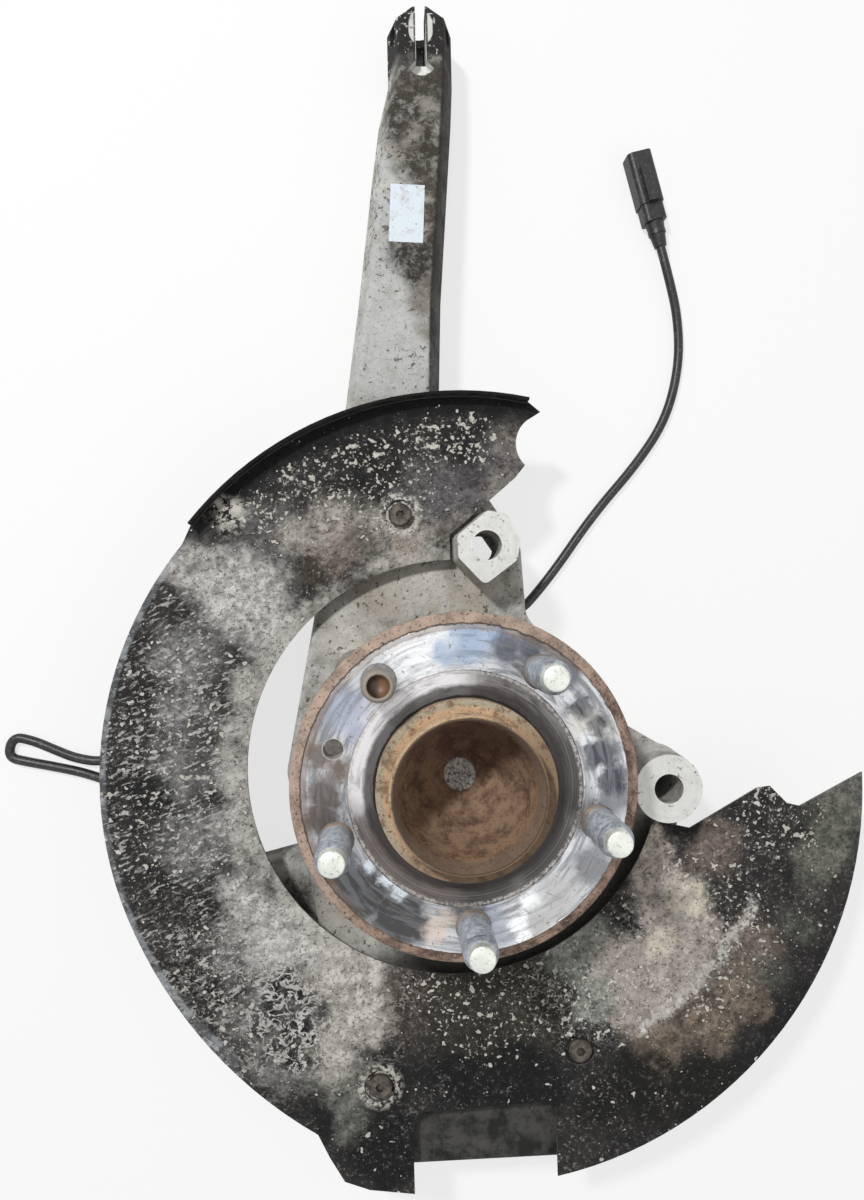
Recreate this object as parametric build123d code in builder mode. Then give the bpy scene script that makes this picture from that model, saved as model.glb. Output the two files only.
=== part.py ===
from build123d import *
import os
from math import cos, hypot, pi, radians, sin, tan

os.makedirs("parts", exist_ok=True)

# Steering knuckle with wheel hub, brake dust shield and wheel speed sensor lead, in millimetres.
# The origin is on the hub axis at the wheel mounting face. Z points outboard along the hub axis,
# Y points to the upper ball joint. The part lies on its back, on the plane z = FLOOR_Z.

# Clearances
FIT = 0.05  # radial, for pieces that are pressed or screwed into each other
RACE_PLAY = 0.05  # ball to raceway
CAGE_PLAY = 0.25  # ball to cage pocket
SEAL_GAP = 0.3  # turning faces that pass each other
OVERCUT = 1.2  # how far a cut runs past the face that it opens in

# Wheel hub
FACE_MARGIN = 10.65  # stud circle to the edge of the wheel face
RIM_WIDTH = 5.2
FLANGE_THICKNESS = 11.0
FACE_INNER_RADIUS = 49.0
FACE_RELIEF = 0.6
RIM_DROP = 2.4
RIM_ROUND = 2.0
PILOT_RADIUS = 32.05
PILOT_HEIGHT = 17.0
PILOT_CHAMFER = 1.4
PILOT_STEP_RADIUS = 37.4
PILOT_STEP_HEIGHT = 6.0
CUP_MOUTH_RADIUS = 30.6
CUP_WALL_DEPTH = 11.0  # straight wall from the mouth down to the bowl
CUP_BOWL_RADIUS = 28.6
CUP_BOWL_SIDE = (23.5, 33.0)  # radius and depth of a point on the bowl's side
CUP_DEPTH = 47.0
CENTRE_RECESS_RADIUS = 11.0
CENTRE_RECESS_DEPTH = 1.6
ROTOR_HOLE_RADIUS = 4.25
ROTOR_HOLE_ANGLE = 162.0

# Wheel studs
BOLT_CIRCLE = 114.3
STUD_COUNT = 5
FIRST_STUD_ANGLE = 55.9
BROKEN_STUD = 1  # counted from the first stud, the way the angle grows
STUD_RADIUS = 7.0
STUD_SHANK_RADIUS = 7.4  # pressed into the flange
STUD_LENGTH = 35.7
STUD_TIP_RADIUS = 5.2
STUD_TIP_LENGTH = 4.5
STUD_TIP_CHAMFER = 0.6
STUD_HEAD_RADIUS = 9.6
STUD_HEAD_HEIGHT = 4.0
BROKEN_STUD_LENGTH = 25.0
BROKEN_CAVITY_DEPTH = 4.0

# Double row hub bearing
BALL_RADIUS = 6.35
BALL_PITCH_RADIUS = 40.0
BALL_COUNT = 13
OUTBOARD_ROW_Z = -33.0
INBOARD_ROW_Z = -66.0
HIGH_SHOULDER = 2.5  # raceway shoulders, measured from the ball pitch circle
LOW_SHOULDER = 5.85
RING_WALL = 11.5  # ball pitch circle to the outside of the outer ring
RING_OUTBOARD_Z = -21.0
RING_INBOARD_Z = -86.0
RING_FLANGE_THICKNESS = 12.0
RING_FLANGE_RADIUS = 62.0
RING_LUG_RADIUS = 10.5
SPINDLE_RADIUS = 27.0
INNER_RING_OUTBOARD_Z = -47.0
INNER_RING_INBOARD_Z = -80.0
COLLAR_RADIUS = 31.5
COLLAR_HEIGHT = 4.0
CAGE_THICKNESS = 2.4
CAGE_OPEN_SIDE = 4.5
CAGE_RIM = 1.8
SEAL_THICKNESS = 3.0
SEAL_TO_BALL = 1.2
ENCODER_THICKNESS = 2.5
ENCODER_RADIUS = 43.0
CAP_THICKNESS = 1.2
CAP_SKIRT = 4.5
CAP_RIM = 2.2

# Bearing bolts
BEARING_BOLT_COUNT = 4
BEARING_BOLT_CIRCLE_RADIUS = 64.0
FIRST_BEARING_BOLT_ANGLE = 45.0
BEARING_BOLT_RADIUS = 6.0
BEARING_BOLT_HEAD_RADIUS = 9.0
BEARING_BOLT_HEAD_HEIGHT = 7.0
BEARING_BOLT_HEX_RADIUS = 8.0
BEARING_BOLT_COLLAR = 2.3
BEARING_BOLT_POCKET_RADIUS = 10.5
BEARING_BOLT_SEAT_Z = -84.0

# Knuckle casting
SEAT_Z = -58.0  # machined front face that the bearing flange bolts to
CASTING_BACK_Z = -92.0
FLOOR_Z = -100.0
BARREL_RADIUS = 77.0
REAR_RING_RADIUS = 60.0
WEB_THICKNESS = 14.0
RIM_WALL = 9.0
RIB_WIDTH = 9.0
RIB_REACH = 230.0  # from the hub axis
RIB_ANGLES = (-105.0, -62.0, 98.0)
CASTING_ROUND = 12.0
FRONT_ROUND = 3.0

# Caliper lugs
CALIPER_FACE_Z = -34.0
CALIPER_HOLE_RADIUS = 6.75
CALIPER_LUG_RADIUS = 15.6
UPPER_CALIPER = (14.8, 102.5)
LOWER_CALIPER = (95.9, -10.3)
LUG_DRAFT = 3.0

# Upper arm and its split clamp
CLAMP_CENTRE_X = -8.6
CLAMP_WIDTH = 32.4
CLAMP_LENGTH = 33.0
ARM_TOP_Y = 370.0
CLAMP_FRONT_Z = -66.0
CLAMP_BORE_RADIUS = 7.0
CLAMP_BORE_Z = -89.0
CLAMP_SLOT_WIDTH = 5.0
CLAMP_SLOT_LENGTH = 28.0
CLAMP_OVAL_WIDTH = 12.6
CLAMP_OVAL_HEIGHT = 18.2
CLAMP_OVAL_DEPTH = 0.8
SLOT_FLARE_WIDTH = 12.6
SLOT_FLARE_LENGTH = 8.0
SLOT_FLARE_DEPTH = 6.0
PIN_MARK_OFFSET = (-9.2, -6.0)  # from the middle of the arm's top
PIN_MARK_RADIUS = 1.8
PINCH_HOLE_RADIUS = 4.2
PINCH_HOLE_Z = -74.5
PINCH_HOLE_DROP = 12.0
CLAMP_TOP_ROUND = 7.0
ARM_BEVEL = 5.0
ARM_ROUND = 3.0
ARM_WALL = 8.0
ARM_POCKET_DEPTH = 16.0

# Lower ball joints and steering arm
LOWER_JOINTS_X = (-30.0, 46.0)
LOWER_JOINT_RADIUS = 8.0
LOWER_JOINT_DEPTH = 34.0
LOWER_BOSS_RADIUS = 15.0
LOWER_BOSS_Z = -80.0
LOWER_END_Y = -190.0
LOWER_BOSS_LENGTH = 40.0
TIE_ROD = (-128.0, -70.0)
TIE_ROD_Z = -82.0
TIE_ROD_BORE_RADIUS = 6.5
TIE_ROD_BOSS_RADIUS = 14.0
TIE_ROD_BOSS_LENGTH = 34.0
STEERING_ARM_THICKNESS = 22.0

# Dust shield
SHIELD_Z = -50.0  # outboard face of the sheet
SHEET = 1.2
SHIELD_OPENING_RADIUS = 97.0
LIP_HEIGHT = 8.0
DIMPLE_RADIUS = 8.5
DIMPLE_DEPTH = 1.5
EMBOSS_HEIGHT = 3.0
EMBOSS_OUTER_RADIUS = 187.0
EMBOSS_WIDTH = 31.0
EMBOSS_START_ANGLE = -58.0
EMBOSS_ANGLE = 42.0
EMBOSS_ROUND = 8.0
EMBOSS_DRAFT = 40.0
LIP_START = (37.1, 171.1)
LIP_MIDDLE = (-46.2, 166.7)
LIP_END = (-120.5, 115.5)
LEFT_START = (-124.7, 106.5)
LEFT_MIDDLE = (-163.8, 10.0)
LEFT_LOW = (-149.6, -72.7)
LEFT_BOTTOM = (-115.0, -128.0)
FOOT_OUTLINE = (
    (-67.9, -168.6),
    (-62.6, -179.6),
    (-55.9, -191.0),
    (-44.4, -195.4),
    (-23.6, -198.4),
    (-23.8, -164.0),
    (-18.1, -160.5),
    (38.4, -158.7),
    (43.6, -161.8),
    (43.8, -193.7),
)
RIGHT_MIDDLE = (147.0, -137.1)
RIGHT_END_OUTLINE = (
    (195.1, -8.6),
    (164.3, -23.9),
    (158.0, -22.3),
    (149.9, -13.9),
    (143.5, -14.7),
    (110.6, -32.6),
)
OPENING_START_ANGLE = -17.0
OPENING_END_ANGLE = -269.5
TOP_END_OUTLINE = ((-0.9, 108.5), (30.6, 134.9), (35.5, 140.9))
TOP_END_BITE = (31.4, 152.0)
TOP_TIP_OUTLINE = ((36.9, 162.1), (43.2, 165.9))
SHIELD_SCREWS = ((-23.9, 118.3), (-38.8, -147.4), (55.6, -135.2))
SCREW_RADIUS = 3.0
SCREW_HEAD_RADIUS = 5.4
SCREW_HEAD_HEIGHT = 3.2
SCREW_SOCKET_RADIUS = 2.2
SCREW_SOCKET_DEPTH = 1.8
SCREW_TIP = 0.8
SCREW_LENGTH = 16.0
SCREW_BOSS_RADIUS = 9.5

# Wheel speed sensor, behind the hub on the side that faces -Y. Reaches are measured from the hub axis.
SENSOR_NOSE_RADIUS = 4.0
SENSOR_NOSE_REACH = 39.0
SENSOR_AIR_GAP = 1.0
SENSOR_PLATE_THICKNESS = 3.6
SENSOR_PLATE_WIDTH = 18.0
SENSOR_BODY_HEIGHT = 9.0
SENSOR_EAR_OFFSET = 15.0
SENSOR_EAR_RADIUS = 7.0
SENSOR_SLOT_Z = -88.0
SENSOR_SEAT_MARGIN = 3.25
SENSOR_SEAT_WIDTH = 36.0
SENSOR_SCREW_RADIUS = 3.0
SENSOR_SCREW_LENGTH = 14.0
SENSOR_STEM_REACH = 72.0
SENSOR_STEM_Z = -94.0
SENSOR_STEM_RADIUS = 4.4
SENSOR_STEM_TAPER = 8.0
SENSOR_STEM_WALL = 0.8
SENSOR_ROUND = 2.0

# Sensor cable, from the sensor's stem to the boot of its connector
CABLE_RADIUS = 2.4
CABLE_Z = FLOOR_Z + CABLE_RADIUS
CONNECTOR_RADIUS = 6.4
CONNECTOR_Z = FLOOR_Z + CONNECTOR_RADIUS
CABLE_ROUTE = (
    (0.0, -SENSOR_STEM_REACH, SENSOR_STEM_Z),
    (0.0, -87.0, SENSOR_STEM_Z),
    (-8.0, -104.0, CABLE_Z),
    (-34.0, -112.0, CABLE_Z),
    (-64.0, -99.0, CABLE_Z),
    (-91.0, -75.0, CABLE_Z),
    (-113.0, -49.0, CABLE_Z),
    (-138.0, -30.0, CABLE_Z),
    (-162.0, -16.0, CABLE_Z),
    (-184.0, -6.5, CABLE_Z),
    (-203.0, -2.0, CABLE_Z),
    (-214.5, 0.4, CABLE_Z),
    (-224.7, 3.0, CABLE_Z),
    (-222.0, 13.6, CABLE_Z),
    (-212.0, 11.2, CABLE_Z),
    (-202.0, 6.6, CABLE_Z),
    (-190.0, 1.2, CABLE_Z),
    (-175.0, -1.0, CABLE_Z),
    (-150.0, 12.0, CABLE_Z),
    (-128.0, 38.0, CABLE_Z),
    (-106.0, 65.0, CABLE_Z),
    (-76.0, 83.0, CABLE_Z),
    (-38.0, 86.0, CABLE_Z),
    (2.0, 75.0, CABLE_Z),
    (34.0, 66.0, CABLE_Z),
    (55.0, 89.0, CABLE_Z),
    (78.0, 121.0, CABLE_Z),
    (103.0, 148.5, CABLE_Z),
    (119.0, 172.0, CABLE_Z),
    (126.5, 200.0, CABLE_Z),
    (126.0, 225.0, -96.5),
    (120.5, 246.0, CONNECTOR_Z),
    (116.7, 261.3, CONNECTOR_Z),
)
BEND_SHARE = 0.45  # part of the shorter run that a bend takes up
BOOT_LENGTH = 13.0
BOOT_RADIUS = 5.0
BOOT_BEAD_RADIUS = 4.6
BOOT_BEAD_LENGTH = 2.2
CONNECTOR_LENGTH = 36.0
CONNECTOR_WALL = 1.6
CONNECTOR_ROUND = 2.6
CONNECTOR_NECK = 9.0
LATCH_WIDTH = 5.0
LATCH_THICKNESS = 1.4
LATCH_GAP = 1.0
LATCH_LENGTH = 18.0
CONNECTOR_CAVITY = 14.0
PIN_RADIUS = 0.9
PIN_SPACING = 4.0
PIN_LENGTH = 9.0


def polar(radius, angle):
    """Point on the XY plane at a radius and an angle in degrees."""
    return (radius * cos(radians(angle)), radius * sin(radians(angle)))


def axial_plane(x, y):
    """Plane through the line x, y parallel to Z, with local x along X and local y along Z."""
    return Plane(origin=(x, y, 0), x_dir=(1, 0, 0), z_dir=(0, -1, 0))


def inset(point, distance):
    """Point moved towards the hub axis."""
    share = 1 - distance / hypot(*point)
    return (point[0] * share, point[1] * share)


def write(part, name):
    """Label a finished piece and write it as its own file."""
    part.label = name
    export_step(part, f"parts/{name}.step")


# Values that follow from the sizes above
inner_high = BALL_PITCH_RADIUS - HIGH_SHOULDER
inner_low = BALL_PITCH_RADIUS - LOW_SHOULDER
outer_high = BALL_PITCH_RADIUS + HIGH_SHOULDER
outer_low = BALL_PITCH_RADIUS + LOW_SHOULDER
ring_radius = BALL_PITCH_RADIUS + RING_WALL
race_radius = BALL_RADIUS + RACE_PLAY
stud_circle = BOLT_CIRCLE / 2
face_radius = stud_circle + FACE_MARGIN
flange_radius = face_radius + RIM_WIDTH
cup_floor_z = PILOT_HEIGHT - CUP_DEPTH
stud_angles = [FIRST_STUD_ANGLE + 360 / STUD_COUNT * index for index in range(STUD_COUNT)]
bolt_angles = [
    FIRST_BEARING_BOLT_ANGLE + 360 / BEARING_BOLT_COUNT * index for index in range(BEARING_BOLT_COUNT)
]
shield_back_z = SHIELD_Z - SHEET
dimple_back_z = shield_back_z - DIMPLE_DEPTH
pinch_hole_y = ARM_TOP_Y - PINCH_HOLE_DROP
opening_start = polar(SHIELD_OPENING_RADIUS, OPENING_START_ANGLE)
opening_middle = polar(SHIELD_OPENING_RADIUS, (OPENING_START_ANGLE + OPENING_END_ANGLE) / 2)
opening_end = polar(SHIELD_OPENING_RADIUS, OPENING_END_ANGLE)
sensor_ear_y = -(ring_radius + REAR_RING_RADIUS) / 2
sensor_inner_y = SENSOR_NOSE_RADIUS + SENSOR_ROUND - SENSOR_NOSE_REACH
sensor_middle_y = (sensor_inner_y + sensor_ear_y) / 2
sensor_plate_back_z = SENSOR_SLOT_Z - SENSOR_PLATE_THICKNESS


# Wheel hub: flange, pilot cup and spindle turned in one piece
with BuildPart() as wheel_hub:
    with BuildSketch(Plane.XZ):
        with BuildLine():
            recess_edge = (CENTRE_RECESS_RADIUS + CENTRE_RECESS_DEPTH, cup_floor_z)
            bowl_side = (CUP_BOWL_SIDE[0], PILOT_HEIGHT - CUP_BOWL_SIDE[1])
            bowl_edge = (CUP_BOWL_RADIUS, PILOT_HEIGHT - CUP_WALL_DEPTH)
            ThreePointArc(recess_edge, bowl_side, bowl_edge)
            Polyline(
                bowl_edge,
                (CUP_MOUTH_RADIUS, PILOT_HEIGHT),
                (PILOT_RADIUS - PILOT_CHAMFER / 2, PILOT_HEIGHT),
                (PILOT_RADIUS, PILOT_HEIGHT - PILOT_CHAMFER),
                (PILOT_RADIUS, PILOT_STEP_HEIGHT),
                (PILOT_STEP_RADIUS, PILOT_STEP_HEIGHT),
                (PILOT_STEP_RADIUS, -FACE_RELIEF),
                (FACE_INNER_RADIUS, -FACE_RELIEF),
                (FACE_INNER_RADIUS, 0),
                (face_radius, 0),
                (face_radius + FACE_RELIEF, -FACE_RELIEF),
                (flange_radius, -RIM_DROP),
                (flange_radius, -FLANGE_THICKNESS),
                (stud_circle - STUD_HEAD_RADIUS - SEAL_GAP, -FLANGE_THICKNESS),
                (outer_high, RING_OUTBOARD_Z + SEAL_THICKNESS),
                (inner_high, RING_OUTBOARD_Z),
                (inner_high, OUTBOARD_ROW_Z),
                (inner_low, OUTBOARD_ROW_Z),
                (inner_low, INNER_RING_OUTBOARD_Z),
                (SPINDLE_RADIUS, INNER_RING_OUTBOARD_Z),
                (SPINDLE_RADIUS, INNER_RING_INBOARD_Z),
                (COLLAR_RADIUS, INNER_RING_INBOARD_Z),
                (COLLAR_RADIUS, INNER_RING_INBOARD_Z - COLLAR_HEIGHT / 2),
                (SPINDLE_RADIUS, INNER_RING_INBOARD_Z - COLLAR_HEIGHT),
                (0, INNER_RING_INBOARD_Z - COLLAR_HEIGHT),
                (0, cup_floor_z - CENTRE_RECESS_DEPTH),
                (CENTRE_RECESS_RADIUS, cup_floor_z - CENTRE_RECESS_DEPTH),
                recess_edge,
            )
        make_face()
    revolve(axis=Axis.Z)
    rim_edges = wheel_hub.edges().filter_by(GeomType.CIRCLE).group_by(SortBy.RADIUS)[-1]
    fillet(rim_edges, RIM_ROUND)
    with BuildSketch(Plane.XZ):
        with Locations((BALL_PITCH_RADIUS, OUTBOARD_ROW_Z)):
            Circle(race_radius)
    revolve(axis=Axis.Z, mode=Mode.SUBTRACT)
    with PolarLocations(stud_circle, STUD_COUNT, FIRST_STUD_ANGLE):
        Hole(STUD_SHANK_RADIUS + FIT)
    with Locations(polar(stud_circle, ROTOR_HOLE_ANGLE)):
        Hole(ROTOR_HOLE_RADIUS)
write(wheel_hub.part, "wheel_hub")


# Wheel studs, pressed through the flange from behind; one has lost its end
stud_number = 0
for index, angle in enumerate(stud_angles):
    stud_x, stud_y = polar(stud_circle, angle)
    head_z = -FLANGE_THICKNESS - STUD_HEAD_HEIGHT
    foot = [
        (0, head_z),
        (STUD_HEAD_RADIUS, head_z),
        (STUD_HEAD_RADIUS, -FLANGE_THICKNESS),
        (STUD_SHANK_RADIUS, -FLANGE_THICKNESS),
        (STUD_SHANK_RADIUS, 0),
        (STUD_RADIUS, 0),
    ]
    if index == BROKEN_STUD:
        name = "broken_wheel_stud"
        end = [
            (STUD_RADIUS, BROKEN_STUD_LENGTH - BROKEN_CAVITY_DEPTH),
            (STUD_TIP_RADIUS + STUD_TIP_CHAMFER, BROKEN_STUD_LENGTH),
            (STUD_TIP_RADIUS - STUD_TIP_CHAMFER, BROKEN_STUD_LENGTH),
            (STUD_RADIUS / 2, BROKEN_STUD_LENGTH - BROKEN_CAVITY_DEPTH + STUD_TIP_CHAMFER),
            (0, BROKEN_STUD_LENGTH - BROKEN_CAVITY_DEPTH),
        ]
    else:
        stud_number += 1
        name = f"wheel_stud_{stud_number}"
        tip_z = STUD_LENGTH - STUD_TIP_LENGTH
        end = [
            (STUD_RADIUS, tip_z - (STUD_RADIUS - STUD_TIP_RADIUS)),
            (STUD_TIP_RADIUS, tip_z),
            (STUD_TIP_RADIUS, STUD_LENGTH - STUD_TIP_CHAMFER),
            (STUD_TIP_RADIUS - STUD_TIP_CHAMFER, STUD_LENGTH),
            (0, STUD_LENGTH),
        ]
    with BuildPart() as wheel_stud:
        with BuildSketch(axial_plane(stud_x, stud_y)):
            with BuildLine():
                Polyline(*foot, *end, close=True)
            make_face()
        revolve(axis=Axis((stud_x, stud_y, 0), (0, 0, 1)))
    write(wheel_stud.part, name)


# Bearing inner ring, held on the spindle by its rolled collar
with BuildPart() as bearing_inner_ring:
    with BuildSketch(Plane.XZ):
        with BuildLine():
            Polyline(
                (SPINDLE_RADIUS + FIT, INNER_RING_OUTBOARD_Z),
                (inner_low, INNER_RING_OUTBOARD_Z),
                (inner_low, INBOARD_ROW_Z),
                (inner_high, INBOARD_ROW_Z),
                (inner_high, INNER_RING_INBOARD_Z),
                (SPINDLE_RADIUS + FIT, INNER_RING_INBOARD_Z),
                close=True,
            )
        make_face()
    revolve(axis=Axis.Z)
    with BuildSketch(Plane.XZ):
        with Locations((BALL_PITCH_RADIUS, INBOARD_ROW_Z)):
            Circle(race_radius)
    revolve(axis=Axis.Z, mode=Mode.SUBTRACT)
write(bearing_inner_ring.part, "bearing_inner_ring")


# Encoder ring on the inner ring's shoulder
with BuildPart() as encoder_ring:
    with BuildSketch(Plane.XY.offset(INNER_RING_INBOARD_Z)):
        Circle(ENCODER_RADIUS)
        Circle(inner_high + FIT, mode=Mode.SUBTRACT)
    extrude(amount=ENCODER_THICKNESS)
write(encoder_ring.part, "encoder_ring")


# Bearing outer ring with its four bolt lugs
with BuildPart() as bearing_outer_ring:
    with BuildSketch(Plane.XZ):
        with BuildLine():
            Polyline(
                (outer_low, RING_OUTBOARD_Z),
                (ring_radius, RING_OUTBOARD_Z),
                (ring_radius, RING_INBOARD_Z),
                (outer_low, RING_INBOARD_Z),
                (outer_low, INBOARD_ROW_Z),
                (outer_high, INBOARD_ROW_Z),
                (outer_high, OUTBOARD_ROW_Z),
                (outer_low, OUTBOARD_ROW_Z),
                close=True,
            )
        make_face()
    revolve(axis=Axis.Z)
    with BuildSketch(Plane.XY.offset(SEAT_Z)):
        Circle(RING_FLANGE_RADIUS)
        with PolarLocations(BEARING_BOLT_CIRCLE_RADIUS, BEARING_BOLT_COUNT, FIRST_BEARING_BOLT_ANGLE):
            Circle(RING_LUG_RADIUS)
        Circle(ring_radius - FIT, mode=Mode.SUBTRACT)
    extrude(amount=RING_FLANGE_THICKNESS)
    with BuildSketch(Plane.XZ):
        with Locations((BALL_PITCH_RADIUS, OUTBOARD_ROW_Z), (BALL_PITCH_RADIUS, INBOARD_ROW_Z)):
            Circle(race_radius)
    revolve(axis=Axis.Z, mode=Mode.SUBTRACT)
    with PolarLocations(BEARING_BOLT_CIRCLE_RADIUS, BEARING_BOLT_COUNT, FIRST_BEARING_BOLT_ANGLE):
        Hole(BEARING_BOLT_RADIUS + FIT)
write(bearing_outer_ring.part, "bearing_outer_ring")


# Bearing bolts, from behind through the casting into the ring's lugs
for index, angle in enumerate(bolt_angles, start=1):
    bolt_x, bolt_y = polar(BEARING_BOLT_CIRCLE_RADIUS, angle)
    with BuildPart() as bearing_bolt:
        with BuildSketch(Plane.XY.offset(BEARING_BOLT_SEAT_Z)):
            with Locations((bolt_x, bolt_y)):
                Circle(BEARING_BOLT_RADIUS)
        extrude(amount=SEAT_Z + RING_FLANGE_THICKNESS - BEARING_BOLT_SEAT_Z)
        with BuildSketch(Plane.XY.offset(BEARING_BOLT_SEAT_Z)):
            with Locations((bolt_x, bolt_y)):
                Circle(BEARING_BOLT_HEAD_RADIUS)
        extrude(amount=-BEARING_BOLT_COLLAR)
        with BuildSketch(Plane.XY.offset(BEARING_BOLT_SEAT_Z)):
            with Locations((bolt_x, bolt_y)):
                RegularPolygon(BEARING_BOLT_HEX_RADIUS, 6)
        extrude(amount=-BEARING_BOLT_HEAD_HEIGHT)
    write(bearing_bolt.part, f"bearing_bolt_{index}")


# Ball rows with their cages
for row, row_z, closed_side in (("outboard", OUTBOARD_ROW_Z, -1), ("inboard", INBOARD_ROW_Z, 1)):
    with BuildPart() as balls:
        with BuildSketch(Plane.XZ):
            with BuildLine():
                half = ThreePointArc(
                    (BALL_PITCH_RADIUS, row_z - BALL_RADIUS),
                    (BALL_PITCH_RADIUS + BALL_RADIUS, row_z),
                    (BALL_PITCH_RADIUS, row_z + BALL_RADIUS),
                )
                Line(half @ 1, half @ 0)
            make_face()
        revolve(axis=Axis((BALL_PITCH_RADIUS, 0, 0), (0, 0, 1)))
        first_ball = balls.part
    ball_group = PolarLocations(0, BALL_COUNT) * first_ball
    write(Compound(children=list(ball_group)), f"{row}_balls")

    cage_depth = BALL_RADIUS + CAGE_PLAY + CAGE_RIM
    with BuildPart() as cage:
        with BuildSketch(Plane.XY.offset(row_z + closed_side * cage_depth)):
            Circle(BALL_PITCH_RADIUS + CAGE_THICKNESS / 2)
            Circle(BALL_PITCH_RADIUS - CAGE_THICKNESS / 2, mode=Mode.SUBTRACT)
        extrude(amount=-closed_side * (cage_depth + CAGE_OPEN_SIDE))
        with PolarLocations(BALL_PITCH_RADIUS, BALL_COUNT):
            with Locations((0, 0, row_z)):
                Sphere(BALL_RADIUS + CAGE_PLAY, mode=Mode.SUBTRACT)
    write(cage.part, f"{row}_cage")


# Seals, pressed into both ends of the outer ring
outboard_seal_z = OUTBOARD_ROW_Z + BALL_RADIUS + SEAL_TO_BALL
inboard_seal_z = INBOARD_ROW_Z - BALL_RADIUS - SEAL_TO_BALL - SEAL_THICKNESS
for name, seal_z in (("outboard_seal", outboard_seal_z), ("inboard_seal", inboard_seal_z)):
    with BuildPart() as seal:
        with BuildSketch(Plane.XY.offset(seal_z)):
            Circle(outer_low - FIT)
            Circle(inner_high + SEAL_GAP, mode=Mode.SUBTRACT)
        extrude(amount=SEAL_THICKNESS)
    write(seal.part, name)


# Bearing end cap with the hole for the sensor's nose
with BuildPart() as bearing_end_cap:
    with BuildSketch(Plane.XY.offset(RING_INBOARD_Z)):
        Circle(outer_low + CAP_RIM)
    extrude(amount=-CAP_THICKNESS)
    with BuildSketch(Plane.XY.offset(RING_INBOARD_Z)):
        Circle(outer_low - FIT)
        Circle(outer_low - FIT - CAP_THICKNESS, mode=Mode.SUBTRACT)
    extrude(amount=CAP_SKIRT)
    with Locations((0, -SENSOR_NOSE_REACH)):
        Hole(SENSOR_NOSE_RADIUS + SEAL_GAP)
write(bearing_end_cap.part, "bearing_end_cap")


# Knuckle casting
CASTING_OUTLINE = (
    (-53.0, 150.0),
    (-66.0, 69.0),
    (-80.0, -2.0),
    (-70.0, -55.0),
    (-60.0, -110.0),
    (-56.0, -160.0),
    (-42.0, LOWER_END_Y),
    (57.0, LOWER_END_Y),
    (74.0, -160.0),
    (82.0, -105.0),
    (108.0, -32.0),
    (113.0, -2.0),
    (100.0, 6.0),
    (70.0, 24.0),
    (36.0, 70.0),
    (34.0, 104.0),
    (18.0, 128.0),
    (-4.0, 150.0),
)
# Sections of the upper arm from the casting to the clamp: y, left x, right x, front z, back z
ARM_SECTIONS = (
    (128.0, -56.0, 0.0, SEAT_Z, CASTING_BACK_Z),
    (176.0, -49.0, -2.8, -60.0, -93.0),
    (226.0, -41.8, -0.8, -62.0, -95.0),
    (290.0, -33.7, 4.3, -64.0, -98.0),
    (316.0, -30.0, 6.4, -65.0, FLOOR_Z),
    (
        ARM_TOP_Y - CLAMP_LENGTH,
        CLAMP_CENTRE_X - CLAMP_WIDTH / 2,
        CLAMP_CENTRE_X + CLAMP_WIDTH / 2,
        CLAMP_FRONT_Z,
        FLOOR_Z,
    ),
    (
        ARM_TOP_Y - CLAMP_TOP_ROUND,
        CLAMP_CENTRE_X - CLAMP_WIDTH / 2,
        CLAMP_CENTRE_X + CLAMP_WIDTH / 2,
        CLAMP_FRONT_Z,
        FLOOR_Z,
    ),
    (
        ARM_TOP_Y,
        CLAMP_CENTRE_X - CLAMP_WIDTH / 2 + CLAMP_TOP_ROUND,
        CLAMP_CENTRE_X + CLAMP_WIDTH / 2 - CLAMP_TOP_ROUND,
        CLAMP_FRONT_Z - ARM_ROUND,
        FLOOR_Z,
    ),
)
UPPER_LUG_OUTLINE = (
    (1.4, 107.0),
    (15.2, 118.2),
    (24.5, 116.5),
    (30.2, 104.5),
    (28.5, 95.5),
    (13.5, 84.5),
    (1.8, 97.0),
)
STEERING_ARM_OUTLINE = (
    (-60.0, -40.0),
    (TIE_ROD[0], TIE_ROD[1] + TIE_ROD_BOSS_RADIUS),
    (TIE_ROD[0], TIE_ROD[1] - TIE_ROD_BOSS_RADIUS),
    (-50.0, -110.0),
)

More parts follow.
